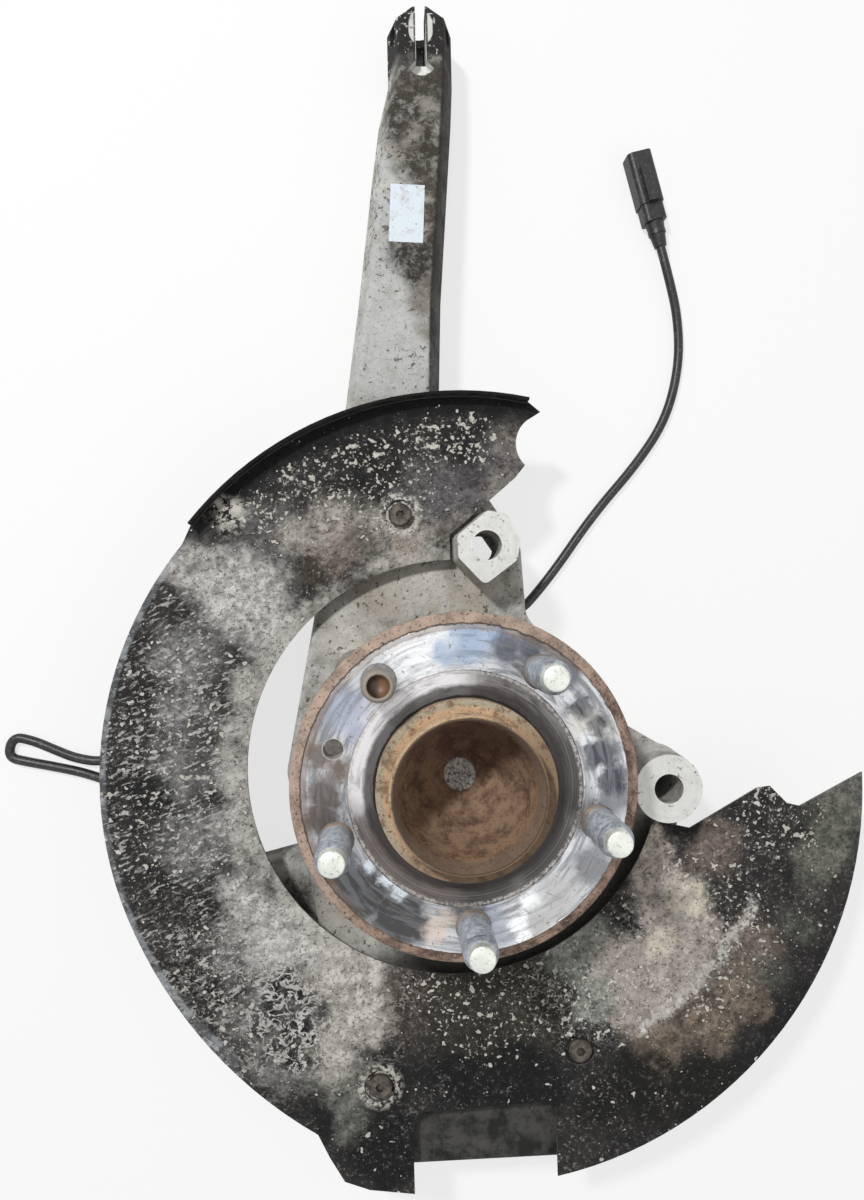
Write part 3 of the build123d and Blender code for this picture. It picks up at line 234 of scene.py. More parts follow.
    def stains(self, colour, height, at, texture, zones):
        """Lay patches of colour over a colour: each zone is a colour, its strength and its places."""
        for tint, strength, places in zones.values():
            share = self.both(self.spots(height, places, at), texture, strength)
            colour = self.mix(share, colour, srgb(*tint))
        return colour

    def bump(self, height, distance, strength=1.0):
        """Raise the surface by a height of 0 to 1 times distance, on top of earlier bumps."""
        node = self.add("ShaderNodeBump", {"Height": height, "Distance": distance, "Strength": strength})
        earlier = self.shader.inputs["Normal"].links
        if earlier:
            self.put(node.inputs["Normal"], earlier[0].from_socket)
        self.put(self.shader.inputs["Normal"], node.outputs["Normal"])

    def dress(self, *names):
        """Put this material on CAD nodes."""
        for name in names:
            nodes[name].data.materials.clear()
            nodes[name].data.materials.append(self.material)


def circle_through(first, second, third):
    """Centre and radius of the circle through three points."""
    (ax, ay), (bx, by), (cx, cy) = first, second, third
    turn = 2 * (ax * (by - cy) + bx * (cy - ay) + cx * (ay - by))
    a, b, c = ax * ax + ay * ay, bx * bx + by * by, cx * cx + cy * cy
    centre_x = (a * (by - cy) + b * (cy - ay) + c * (ay - by)) / turn
    centre_y = (a * (cx - bx) + b * (ax - cx) + c * (bx - ax)) / turn
    return centre_x, centre_y, hypot(ax - centre_x, ay - centre_y)


# Dust shield: matt dark sheet under dust, salt and dried mud, with painted shade along the top lip and a
# painted highlight on the left edge
SHIELD_Z = -50
SHIELD_OPENING = 97
LIP_CIRCLE = circle_through((37.1, 171.1), (-46.2, 166.7), (-120.5, 115.5))
LEFT_CIRCLE = circle_through((-124.7, 106.5), (-163.8, 10.0), (-149.6, -72.7))
SHIELD_ZONES = {
    "grey top": ((122, 120, 119), 0.65, ((-10, 130, 10, 14), (-80, 108, 10, 18))),
    "beige top": (
        (180, 175, 166),
        0.95,
        ((-54, 113, 7, 12), (-38, 108, 6, 10), (-68, 112, 4, 10), (-16, 107, 6, 11)),
    ),
    "lilac end": ((117, 112, 116), 0.7, ((4, 126, 6, 12), (20, 140, 6, 12))),
    "beige end": ((146, 141, 133), 0.8, ((30, 150, 5, 12), (22, 132, 4, 10), (6, 114, 4, 10))),
    "pink film": ((172, 154, 142), 0.7, ((-20, 103, 3, 9), (-50, 101, 5, 10))),
    "olive stain": ((78, 73, 60), 0.8, ((-40, 105, 3, 9), (-64, 94, 4, 9))),
    "kink dust": ((204, 200, 195), 0.95, ((-127, 103, 5, 11), (-116, 92, 3, 14))),
    "upper left film": ((218, 216, 211), 0.95, ((-95, 82, 12, 18), (-84, 64, 6, 14))),
    "left film": (
        (152, 151, 150),
        0.85,
        ((-122, 52, 8, 14), (-124, 28, 7, 12), (-126, 4, 7, 12), (-122, -30, 8, 16)),
    ),
    "left shade": (
        (62, 60, 60),
        0.85,
        ((-107, 54, 3, 7), (-112, 38, 3, 7), (-117, 22, 3, 7), (-121, 6, 3, 8)),
    ),
    "left inner film": (
        (196, 195, 190),
        0.95,
        ((-97, 40, 3, 8), (-102, 20, 3, 8), (-105, 0, 3, 9), (-105, -22, 3, 9)),
    ),
    "lower left film": ((142, 141, 138), 0.85, ((-100, -82, 9, 14), (-88, -112, 12, 15), (-82, -136, 6, 11))),
    "lower left light": ((224, 222, 217), 1.0, ((-84, -76, 11, 16), (-98, -56, 4, 14), (-64, -76, 8, 14))),
    "foot film": ((138, 138, 130), 0.85, ((-55, -148, 7, 9), (-52, -164, 5, 9), (-66, -138, 5, 9))),
    "dried mud": ((224, 219, 208), 1.0, ((-50, -96, 12, 14), (-47, -118, 8, 12), (-60, -130, 6, 12))),
    "brown mud": ((84, 75, 69), 0.85, ((-18, -102, 12, 12), (-26, -122, 6, 10))),
    "olive mud": ((60, 59, 51), 0.9, ((18, -110, 24, 18), (4, -124, 12, 12))),
    "green film": ((170, 173, 164), 0.9, ((56, -88, 10, 13), (66, -104, 8, 11), (60, -117, 5, 9))),
    "pink patch": (
        (202, 191, 182),
        1.0,
        ((90, -46, 9, 8), (97, -64, 14, 8), (104, -82, 15, 8), (90, -102, 15, 9)),
    ),
    "pink patch below": ((190, 179, 171), 1.0, ((112, -100, 8, 7), (82, -118, 9, 8), (74, -96, 7, 8))),
    "yellow patch": ((232, 224, 204), 0.95, ((108, -66, 7, 9), (96, -88, 6, 8), (88, -38, 5, 6))),
    "right brown": ((150, 134, 124), 0.85, ((124, -42, 7, 12), (140, -92, 6, 12))),
    "low brown": ((142, 127, 112), 0.95, ((92, -133, 9, 10), (116, -127, 9, 10), (134, -112, 7, 10))),
    "right edge film": ((100, 100, 92), 0.75, ((172, -58, 5, 10), (162, -82, 5, 10), (148, -104, 4, 10))),
    "tip film": ((132, 132, 122), 0.85, ((184, -18, 12, 16), (176, -44, 8, 12))),
    "low right": ((26, 26, 21), 0.95, ((88, -152, 12, 12), (112, -148, 8, 12), (66, -162, 8, 12))),
    "low wet": (
        (22, 22, 23),
        1.0,
        ((-2, -148, 10, 9), (22, -146, 12, 9), (40, -150, 6, 9), (-36, -176, 14, 9)),
    ),
    "screw halo": ((44, 43, 43), 0.9, ((55.6, -135.2, 11, 6),)),
}
SALT_PLACES = {
    0.50: ((-92, 130, 6, 14), (-68, 141, 7, 14), (-42, 148, 8, 15), (-14, 152, 8, 15), (10, 153, 8, 12)),
    0.42: ((-34, 134, 20, 18), (-84, 120, 10, 12), (152, -30, 14, 16), (70, -100, 14, 18)),
    0.38: ((10, -108, 26, 18), (66, -100, 26, 20), (110, -84, 34, 20)),
    0.33: ((-140, 0, 40, 50), (-100, -110, 30, 34)),
}
LEAST_SALT = 0.1
CRUST_CORNERS = ((140, -70), (124, -94), (103, -115), (82, -128))
CRUST_STEPS = 6
CRUST_WIDTH = (1.4, 3.4)  # radius and soft edge
CRACKLED = ((-82, -104, 10, 9), (-78, -126, 9, 9), (-92, -114, 6, 8))
CRACKLE_PLACES = ((-95, -100, 34, 30), (-50, -110, 20, 20), (60, -100, 22, 24), (100, -84, 22, 16))
DASH_PLACES = ((-140, 0, 44, 44), (-110, 66, 18, 30), (-120, -84, 20, 30))
DASH_TURN = 22
DASH_LENGTH = 4.4 * MM
DASH_WIDTH = 1.6 * MM
CLUMP_PLACES = ((-107, 119, 5, 9), (-98, 124, 3, 8))
SCREW_CRUST_PLACES = ((-23.9, 118.3, 8.5, 3), (-38.8, -147.4, 9.0, 3))
LIP_SHADE = (13, 7)  # where the painted shade along the top lip begins and where it is full, inside the lip's circle
LIP_END_Y = (100, 112)
LIP_WALL_RISE = (0.6, 1.8)  # above the sheet
LEFT_EDGE_HIGHLIGHT = (3.4, 2.0)  # inside the left circle, where a painted highlight lies along the lit left edge
INNER_DUST_WIDTH = 5

shield = Surface("shield_sheet", Metallic=0.0, Specular_IOR_Level=0.15)
x, y, z = shield.coordinates()
radius = shield.reach(x, y)
ragged = shield.warp(0.03, 0.034)
clouds = shield.step(shield.noise(0.03, 7.0, 0.66), 0.36, 0.66)
grain = shield.noise(0.0017, 5.0, 0.72)
breaks = shield.step(shield.noise(0.007, 4.0, 0.6), 0.42, 0.56)

colour = shield.mix(clouds, srgb(34, 33, 33), srgb(62, 60, 59))
scuffs = shield.scaled(shield.step(shield.noise(0.0062, 6.0, 0.72), 0.36, 0.58), 0.45, 1.05)
colour = shield.stains(colour, SHIELD_Z, ragged, scuffs, SHIELD_ZONES)
lip_reach = shield.reach(x, y, LIP_CIRCLE[0] * MM, LIP_CIRCLE[1] * MM)
lip_reach = shield.calc("ADD", lip_reach, shield.scaled(shield.noise(0.014, 5.0), -0.006, 0.006))
# Painted shade: the sheet along the turned-up top lip is darkened near black where no salt lies
lip_shade = shield.both(
    shield.step(lip_reach, *[(LIP_CIRCLE[2] - inside) * MM for inside in LIP_SHADE]),
    shield.step(y, LIP_END_Y[0] * MM, LIP_END_Y[1] * MM),
)
opening_reach = shield.calc("ADD", radius, shield.scaled(clouds, -0.006, 0.006))
inner_dust = shield.both(
    shield.band(opening_reach, 0, SHIELD_OPENING + INNER_DUST_WIDTH, 8),
    shield.any(shield.step(x, -0.040, -0.062), shield.step(y, 0.086, 0.096)),
    shield.scaled(breaks, 0.5, 0.85),
)
colour = shield.mix(inner_dust, colour, srgb(204, 201, 192))
crackle = shield.both(
    shield.any(shield.veins(0.006, 0.03), shield.both(shield.veins(0.011, 0.018), 0.8)),
    shield.spots(SHIELD_Z, CRACKLE_PLACES, ragged),
    shield.any(breaks, 0.25),
)
colour = shield.mix(shield.both(crackle, 0.75), colour, srgb(184, 181, 174))
crackled = shield.spots(SHIELD_Z, CRACKLED, ragged)
flakes = shield.mix(shield.veins(0.0062, 0.055), srgb(36, 35, 35), srgb(224, 222, 218))
colour = shield.mix(shield.both(crackled, shield.scaled(breaks, 0.6, 1.0)), colour, flakes)
dash_place = shield.stretched(DASH_TURN, DASH_LENGTH, DASH_WIDTH)
dashes = shield.both(
    shield.step(shield.noise(1.0, 2.5, 0.55, 0.3, dash_place), 0.55, 0.61),
    shield.spots(SHIELD_Z, DASH_PLACES, ragged),
    shield.scaled(breaks, 0.25, 0.85),
)
colour = shield.mix(dashes, colour, srgb(206, 205, 202))
colour = shield.mix(shield.both(shield.step(grain, 0.49, 0.34), 0.7), colour, srgb(30, 29, 29))
bright_grain = shield.both(shield.step(grain, 0.54, 0.68), shield.scaled(clouds, 0.12, 0.65))
colour = shield.mix(bright_grain, colour, srgb(190, 187, 181))

covers = [
    shield.both(shield.spots(SHIELD_Z, places, ragged), share) for share, places in SALT_PLACES.items()
]
cover = shield.any(LEAST_SALT, *covers)
cover = shield.both(cover, shield.scaled(shield.less(lip_shade), 0.35, 1.0))
coarse_salt = shield.blots(0.0033, cover, 1.0)
fine_salt = shield.blots(0.0019, shield.calc("ADD", cover, 0.04), 2.0)
clumps = shield.both(
    shield.spots(SHIELD_Z, CLUMP_PLACES, ragged),
    shield.step(shield.noise(0.004, 5.0, 0.7), 0.44, 0.52),
)
screw_crust = shield.both(
    shield.spots(SHIELD_Z, SCREW_CRUST_PLACES),
    shield.step(shield.noise(0.0022, 4.0, 0.7), 0.44, 0.58),
)
crust_places = []
for (start_x, start_y), (end_x, end_y) in zip(CRUST_CORNERS, CRUST_CORNERS[1:]):
    for step in range(CRUST_STEPS):
        share = step / CRUST_STEPS
        crust_x = start_x + (end_x - start_x) * share
        crust_y = start_y + (end_y - start_y) * share
        crust_places.append((crust_x, crust_y, *CRUST_WIDTH))
crust = shield.both(
    shield.spots(SHIELD_Z, crust_places, shield.warp(0.012, 0.014)),
    shield.step(shield.noise(0.0025, 5.0, 0.7), 0.4, 0.52),
)
salt = shield.any(coarse_salt, shield.both(fine_salt, 0.85), clumps, screw_crust, crust)
salt_colour = shield.mix(shield.noise(0.02), srgb(186, 180, 166), srgb(236, 234, 228))
colour = shield.mix(salt, colour, salt_colour)
# Painted shade along the top lip, kept off the salt
colour = shield.mix(shield.both(lip_shade, shield.less(salt), 0.9), colour, srgb(31, 30, 31))
left_reach = shield.reach(x, y, LEFT_CIRCLE[0] * MM, LEFT_CIRCLE[1] * MM)
# Painted highlight: a pale line along the lit left edge of the sheet
left_edge_highlight = shield.both(
    shield.step(left_reach, *[(LEFT_CIRCLE[2] - inside) * MM for inside in LEFT_EDGE_HIGHLIGHT]),
    shield.step(x, -0.100, -0.110),
    shield.step(y, 0.108, 0.102),
    shield.any(breaks, 0.3),
)
colour = shield.mix(shield.both(left_edge_highlight, 0.7), colour, srgb(172, 176, 180))
facing = shield.normal()[2]
edge_colour = shield.mix(grain, srgb(70, 66, 63), srgb(150, 145, 138))
back_colour = shield.mix(clouds, srgb(50, 48, 47), srgb(88, 82, 76))
back_colour = shield.mix(shield.both(fine_salt, 0.6), back_colour, srgb(140, 134, 126))
colour = shield.mix(shield.step(facing, 0.2, 0.6), edge_colour, colour)
colour = shield.mix(shield.step(facing, -0.3, -0.7), colour, back_colour)
# Painted shade: the lip's inner wall, above the sheet, darkened near black
lip_wall_shade = shield.both(
    shield.step(y, 0.08, 0.09), shield.step(z, *[(SHIELD_Z + rise) * MM for rise in LIP_WALL_RISE])
)
colour = shield.mix(shield.both(lip_wall_shade, shield.scaled(breaks, 0.8, 0.96)), colour, srgb(27, 26, 27))
shield.set(Base_Color=colour, Roughness=shield.scaled(grain, 0.5, 0.95))
shield.bump(scuffs, 0.0012, 0.7)
shield.bump(grain, 0.0007, 0.8)
shield.bump(shield.step(shield.noise(0.0033, 1.0, 0.6), 0.6, 0.66), 0.0005, 0.9)
shield.dress("dust_shield")


# Casting: rough grey aluminium with dirt in its pits, bright where it was machined, with painted shade under
# the hub's rim, on the arm's right-facing sides and towards the bottom, and a painted highlight on the arm's
# left side
ARM_Z = -63
CALIPER_HOLES = ((14.8, 102.5), (95.9, -10.3))
CALIPER_FACE_Z = -34.0
SLOT_MIDDLE = -8.6
SLOT_HALF = 2.5
OVAL_FLOOR_Z = -66.8
OVAL_HALF_WIDTH = 5.6
SLOT_FOOT_HALF = 6.4
SLOT_FOOT_Y = (331, 342)
SLOT_FOOT_Z = -66.6
SLOT_BRIGHT_Y = (341, 352)
TURNING_RINGS = 1400.0  # grains of noise per metre of radius
ARM_ZONES = {
    "pale foot": ((200, 201, 199), 0.85, ((-26, 196, 16, 18), (-24, 222, 12, 16))),
    # Painted highlight: the arm's left side, lit from the upper left
    "lit left side": (
        (194, 196, 196),
        0.85,
        ((-32, 244, 4, 10), (-32, 268, 4, 10), (-31, 290, 3, 9), (-30, 310, 3, 9)),
    ),
    "brown over the label": ((56, 52, 44), 1.0, ((-10, 296, 9, 12), (-15, 314, 10, 12), (-6, 328, 9, 11))),
    "brown beside the label": ((74, 66, 57), 0.95, ((-3, 280, 5, 8), (-4, 264, 4, 8), (-3, 250, 5, 8))),
    "dust over the label": ((176, 170, 160), 0.6, ((-14, 304, 2, 6), (-6, 318, 2, 5), (-22, 296, 2, 6))),
    "black under the label": ((48, 43, 37), 1.0, ((-11, 240, 8, 9), (-20, 246, 4, 7), (-4, 238, 6, 8))),
    "brown streak": ((104, 93, 80), 0.75, ((-9, 224, 4, 9), (-5, 210, 3, 9))),
    "dark shoulder": ((62, 56, 49), 0.9, ((-20, 334, 7, 9), (2, 332, 6, 8))),
}
BODY_ZONES = {
    "shade by the gap": ((52, 48, 43), 0.9, ((-74, -64, 8, 12), (-70, -40, 4, 10))),
    "brown under the lug": ((188, 180, 164), 0.75, ((-34, 80, 8, 12), (10, 82, 7, 10), (-12, 80, 4, 8))),
    "pale top": ((216, 212, 201), 0.9, ((-16, 92, 8, 12), (-50, 60, 6, 12), (22, 86, 3, 8))),
    "pale by the rim": ((182, 177, 167), 0.9, ((-56, -64, 8, 10), (-48, -74, 5, 8))),
}

casting = Surface("cast_aluminium", Specular_IOR_Level=0.4)
x, y, z = casting.coordinates()
side_x, _, facing = casting.normal()
ragged = casting.warp(0.016, 0.018)
grain = casting.noise(0.0014, 5.0, 0.72)
mottle = casting.step(casting.noise(0.012, 7.0, 0.68), 0.36, 0.64)
colour = casting.mix(mottle, srgb(160, 158, 150), srgb(206, 205, 199))
scuffs = casting.scaled(casting.step(casting.noise(0.005, 6.0, 0.72), 0.36, 0.58), 0.55, 1.05)
colour = casting.stains(colour, ARM_Z, ragged, scuffs, ARM_ZONES)
colour = casting.stains(colour, ARM_Z, ragged, scuffs, BODY_ZONES)
arm_pits = casting.both(casting.step(y, 0.22, 0.26), 0.2)
pit_cover = casting.calc("ADD", casting.scaled(mottle, 0.46, 0.3), arm_pits)
pits = casting.blots(0.0026, pit_cover)
colour = casting.mix(casting.both(pits, 0.75), colour, srgb(62, 57, 50))
colour = casting.mix(casting.both(casting.step(grain, 0.46, 0.32), 0.5), colour, srgb(74, 69, 62))
colour = casting.mix(casting.both(casting.step(grain, 0.58, 0.72), 0.5), colour, srgb(212, 210, 204))
# Painted shade: the arm's right-facing sides darkened
right_side_shade = casting.both(
    casting.step(side_x, 0.15, 0.6), casting.step(y, 0.12, 0.16), casting.scaled(mottle, 0.75, 1.0)
)
colour = casting.mix(right_side_shade, colour, srgb(40, 37, 34))
wander = casting.scaled(casting.noise(0.012, 5.0), -0.009, 0.009)
# Painted shadow: a dark crescent on the casting under the hub's rim, towards the lower right
rim_shadow = casting.both(
    casting.band(casting.calc("ADD", casting.reach(x, y), wander), 82, 106, 8),
    casting.step(casting.calc("SUBTRACT", casting.both(x, 0.5), y), 0.060, 0.085),
)
colour = casting.mix(casting.both(rim_shadow, 0.9), colour, srgb(38, 36, 33))
clamp_dirt = casting.both(
    casting.step(casting.calc("ADD", y, wander), 0.338, 0.346), casting.less(casting.blots(0.003, 0.5))
)
colour = casting.mix(clamp_dirt, colour, srgb(33, 31, 30))
# Painted shade: the casting darkened near black towards the bottom
low_shade = casting.both(
    casting.step(casting.calc("ADD", y, wander), -0.120, -0.150), casting.scaled(mottle, 0.8, 1.0)
)
colour = casting.mix(low_shade, colour, srgb(23, 22, 21))

slot_reach = casting.calc("ABSOLUTE", casting.calc("SUBTRACT", x, SLOT_MIDDLE * MM))
slot_wall = casting.both(
    casting.step(slot_reach, (SLOT_HALF + 0.4) * MM, (SLOT_HALF + 0.1) * MM),
    casting.step(y, 0.337, SLOT_BRIGHT_Y[0] * MM),
    casting.step(y, 0.366, SLOT_BRIGHT_Y[1] * MM),
)
slot_foot = casting.both(
    casting.step(slot_reach, (SLOT_FOOT_HALF + 0.8) * MM, SLOT_FOOT_HALF * MM),
    casting.band(y, *SLOT_FOOT_Y, 2),
    casting.step(z, (SLOT_FOOT_Z + 0.4) * MM, SLOT_FOOT_Z * MM),
)
oval_depth = casting.calc("ABSOLUTE", casting.calc("SUBTRACT", z, OVAL_FLOOR_Z * MM))
oval = casting.both(
    casting.step(oval_depth, 0.25 * MM, 0.1 * MM),
    casting.band(slot_reach, SLOT_HALF + 1.2, OVAL_HALF_WIDTH, 0.8),
    casting.step(y, 0.346, 0.349),
)
lug_face = casting.both(
    casting.step(z, (CALIPER_FACE_Z - 0.6) * MM, (CALIPER_FACE_Z - 0.2) * MM), casting.step(facing, 0.8, 0.95)
)
hole_reach = casting.calc(
    "MINIMUM", *[casting.reach(x, y, hole_x * MM, hole_y * MM) for hole_x, hole_y in CALIPER_HOLES]
)
ring_place = casting.joined(casting.calc("MULTIPLY", hole_reach, TURNING_RINGS), 0.0, 0.0)
rings = casting.noise(1.0, 2.0, 0.5, 0.0, ring_place)
machined = casting.any(slot_wall, slot_foot, casting.both(oval, 0.85), lug_face)
bright = casting.mix(casting.noise(0.005, 6.0, 0.7), srgb(184, 184, 180), srgb(236, 236, 232))
ring_marks = casting.both(casting.step(rings, 0.5, 0.72), lug_face, 0.35)
bright = casting.mix(ring_marks, bright, srgb(168, 168, 166))
bright = casting.mix(casting.blots(0.0022, 0.42), bright, srgb(140, 132, 120))
colour = casting.mix(machined, colour, bright)
casting.set(
    Base_Color=colour,
    Metallic=casting.both(machined, 0.35),
    Roughness=casting.scaled(machined, 0.86, 0.5),
)
casting.bump(casting.both(scuffs, casting.less(machined)), 0.0008, 0.6)
casting.bump(casting.both(grain, casting.less(machined)), 0.0006, 0.8)
casting.bump(casting.both(pits, casting.less(machined)), -0.0005, 0.8)
casting.bump(casting.both(rings, lug_face), 0.00006, 0.5)
casting.dress("knuckle")


# Wheel hub: scuffed bright face with painted reflections, rusty rim and cup, turned pilot, with painted light
# on the upper left and painted shade on the lower right
FACE_INNER = 49.0
FACE_OUTER = 67.8
STEP_RADIUS = 37.4
STEP_HEIGHT = 6.0
CUP_MOUTH = 30.6
CUP_FLOOR_Z = -30.0
BOWL_EDGE_Z = 6.0
CENTRE_SPOT = 6.8
SMALL_HOLE = (-54.4, 17.7)
SMALL_HOLE_RADIUS = 4.4
PALE_BAND_RADIUS = 35.0
SMEAR_AND_REFLECTION_RINGS = 330.0  # grains of noise per metre of radius
SMEAR_AND_REFLECTION_TURNS = 3.0
RING_LINES = 900.0  # grains of noise per metre of radius
DARK_BAND_RADIUS = 41.5
# Patches on the face: painted reflections in white, blue, slate, lavender, grey, cream and peach, and brown
# stains at the small hole and on the left
FACE_REFLECTIONS_AND_STAINS = {
    "white upper left": ((244, 245, 246), 0.95, ((-22, 56, 8, 10), (-10, 62, 4, 7), (-40, 52, 4, 8))),
    "blue top": ((156, 178, 206), 0.8, ((2, 60, 5, 8), (-8, 56, 2, 6), (14, 64, 2, 5))),
    "slate right of the top": ((78, 82, 94), 0.9, ((18, 57, 3, 7), (28, 58, 3, 6), (44, 47, 3, 6))),
    "lavender left": ((168, 174, 194), 0.8, ((-50, 34, 5, 8), (-45, 24, 2, 6))),
    "stain at the small hole": ((104, 86, 72), 0.9, ((-60, 15, 3, 6), (-52, 9, 2, 6))),
    "brown left": ((82, 71, 63), 0.9, ((-58, -1, 4, 6), (-60, -10, 4, 6), (-56, -20, 3, 6))),
    "grey lower left": ((60, 60, 61), 0.95, ((-44, -41, 9, 7), (-29, -54, 9, 7), (-55, -31, 6, 7))),
    "white crescent": ((228, 236, 245), 0.9, ((-34, -37, 2, 3), (-28, -42, 2, 3), (-40, -30, 1, 3))),
    "peach reflection": ((216, 199, 186), 0.85, ((-14, -58, 3, 5), (-9, -53, 2, 4))),
    "slate at the bottom": ((150, 157, 174), 0.7, ((12, -60, 3, 6), (10, -52, 2, 4))),
    "white streak": ((248, 249, 250), 0.95, ((21, -56, 2, 4), (23, -62, 2, 4), (26, -48, 2, 4))),
    "white lower right": ((176, 176, 174), 0.85, ((38, -46, 5, 9), (30, -55, 3, 6))),
    "grey right": ((112, 113, 117), 0.9, ((52, -34, 5, 8), (63, -6, 4, 7), (58, -22, 4, 7))),
    "cream right": ((208, 204, 194), 0.7, ((50, 26, 4, 7), (58, 22, 2, 6))),
    "slate reflection patch": ((58, 61, 69), 0.95, ((57, 12, 5, 6), (48, 32, 3, 5), (61, 2, 4, 5), (56, 24, 3, 5))),
    "pale reflection streak": ((222, 226, 228), 0.85, ((51, 19, 1, 3), (56, 6, 1, 3), (44, 36, 1, 3))),
}
RING_ZONES = {
    "pale upper left": ((234, 232, 234), 0.95, ((-34, 30, 16, 18), (-14, 44, 10, 14), (-45, 8, 8, 14))),
    "brown lower left": ((104, 95, 90), 0.9, ((-34, -28, 8, 16), (-16, -42, 5, 14))),
    "charcoal right": ((64, 61, 61), 0.85, ((44, 6, 8, 16), (34, -28, 8, 14), (10, -44, 4, 12))),
}

hub = Surface("hub_steel", Specular_IOR_Level=0.5)
x, y, z = hub.coordinates()
radius = hub.reach(x, y)
wander = hub.scaled(hub.noise(0.005, 5.0, 0.68), -0.0011, 0.0011)
ragged_radius = hub.calc("ADD", radius, wander)
ragged = hub.warp(0.007, 0.012)
# Streaks round the hub: smears, and painted reflection sectors on the face
sweep = hub.joined(
    hub.calc("DIVIDE", hub.calc("MULTIPLY", x, SMEAR_AND_REFLECTION_TURNS), radius),
    hub.calc("DIVIDE", hub.calc("MULTIPLY", y, SMEAR_AND_REFLECTION_TURNS), radius),
    hub.calc("MULTIPLY", radius, SMEAR_AND_REFLECTION_RINGS),
)
smears_and_reflections = hub.noise(1.0, 6.0, 0.62, 0.8, sweep)
fine = hub.noise(0.0013, 5.0, 0.72)
cloud = hub.noise(0.009, 6.0, 0.66)
scratches = hub.any(
    hub.step(hub.noise(1.0, 2.0, 0.5, 0.0, hub.stretched(62, 0.014, 0.0007)), 0.64, 0.7),
    hub.step(hub.noise(1.0, 2.0, 0.5, 0.0, hub.stretched(-28, 0.011, 0.0006)), 0.65, 0.71),
)
# The lit upper-left side, for painted light there and painted shade on the lower right
lit_upper_left = hub.step(hub.calc("ADD", hub.calc("SUBTRACT", y, x), hub.both(wander, 4.0)), -0.022, 0.02)

rust = hub.mix(hub.step(cloud, 0.36, 0.62), srgb(84, 65, 55), srgb(172, 146, 129))
# Painted highlight: the rust paler on the upper left
rust = hub.mix(hub.both(lit_upper_left, hub.scaled(cloud, 0.1, 0.75)), rust, srgb(204, 184, 169))
rust = hub.mix(hub.both(hub.step(fine, 0.53, 0.68), 0.8), rust, srgb(190, 160, 138))
rust = hub.mix(hub.step(fine, 0.46, 0.33), rust, srgb(58, 41, 32))
# Painted shade: a dark line between the face and the rim, strongest on the upper left
rim_shade_line = hub.both(
    hub.band(ragged_radius, FACE_OUTER, FACE_OUTER + 0.6, 0.4), hub.scaled(lit_upper_left, 0.35, 0.85)
)
rust = hub.mix(rim_shade_line, rust, srgb(52, 41, 36))

face = hub.both(
    hub.step(radius, (FACE_INNER - 0.1) * MM, (FACE_INNER + 0.1) * MM),
    hub.step(ragged_radius, (FACE_OUTER + 0.5) * MM, (FACE_OUTER - 0.2) * MM),
    hub.step(z, -0.5 * MM, -0.1 * MM),
)
ring = hub.both(
    hub.step(radius, (STEP_RADIUS - 0.1) * MM, (STEP_RADIUS + 0.1) * MM),
    hub.step(radius, (FACE_INNER + 0.1) * MM, (FACE_INNER - 0.1) * MM),
    hub.step(z, -1.5 * MM, -1.0 * MM),
)
pilot = hub.both(
    hub.step(radius, (CUP_MOUTH - 0.4) * MM, CUP_MOUTH * MM),
    hub.step(radius, (STEP_RADIUS + 0.1) * MM, (STEP_RADIUS - 0.1) * MM),
    hub.step(z, -0.3 * MM, 0.2 * MM),
)
cup = hub.both(hub.step(radius, (CUP_MOUTH + 0.1) * MM, (CUP_MOUTH - 0.2) * MM), hub.step(z, -0.036, -0.034))
cup_floor = hub.both(cup, hub.step(z, (CUP_FLOOR_Z + 3) * MM, (CUP_FLOOR_Z + 1) * MM))
centre_spot = hub.both(cup_floor, hub.step(ragged_radius, (CENTRE_SPOT + 0.8) * MM, CENTRE_SPOT * MM))

# Painted reflections: the face swings between dark and bright sectors
polish_and_reflections = hub.mix(hub.step(smears_and_reflections, 0.36, 0.6), srgb(138, 140, 144), srgb(208, 209, 212))
face_texture = hub.scaled(hub.step(smears_and_reflections, 0.34, 0.56), 0.5, 1.0)
polish_and_reflections = hub.stains(polish_and_reflections, 0, ragged, face_texture, FACE_REFLECTIONS_AND_STAINS)
polish_and_reflections = hub.mix(hub.both(scratches, 0.45), polish_and_reflections, srgb(92, 92, 96))
polish_and_reflections = hub.mix(hub.both(hub.blots(0.0024, hub.scaled(cloud, 0.1, 0.7)), 0.6), polish_and_reflections, srgb(110, 98, 88))
rust_edge = hub.both(hub.band(ragged_radius, FACE_OUTER - 1.8, 90, 0.8), lit_upper_left, 0.5)
polish_and_reflections = hub.mix(rust_edge, polish_and_reflections, srgb(120, 96, 80))

dark_ring = hub.mix(hub.step(smears_and_reflections, 0.35, 0.65), srgb(74, 71, 71), srgb(126, 122, 120))
dark_ring = hub.stains(dark_ring, -0.6, ragged, face_texture, RING_ZONES)
line_place = hub.joined(hub.calc("MULTIPLY", radius, RING_LINES), 0.0, 0.0)
lines = hub.noise(1.0, 2.0, 0.5, 0.0, line_place)
dark_ring = hub.mix(hub.both(hub.step(lines, 0.5, 0.66), 0.35), dark_ring, srgb(206, 204, 206))
dark_band = hub.both(hub.band(ragged_radius, 0, DARK_BAND_RADIUS, 2.2), 0.85)
dark_ring = hub.mix(dark_band, dark_ring, srgb(44, 38, 35))
# Painted shadow: a dark line round the foot of the pilot
pilot_foot_shadow = hub.both(hub.band(ragged_radius, 0, STEP_RADIUS + 0.8, 0.6), 0.9)
dark_ring = hub.mix(pilot_foot_shadow, dark_ring, srgb(24, 21, 20))
crust = hub.both(hub.band(radius, FACE_INNER - 1.3, 60, 0.6), hub.step(fine, 0.44, 0.56))
dark_ring = hub.mix(hub.both(crust, 0.8), dark_ring, srgb(190, 186, 180))

tan = hub.mix(hub.noise(0.004, 5.0, 0.7), srgb(174, 138, 104), srgb(228, 200, 166))
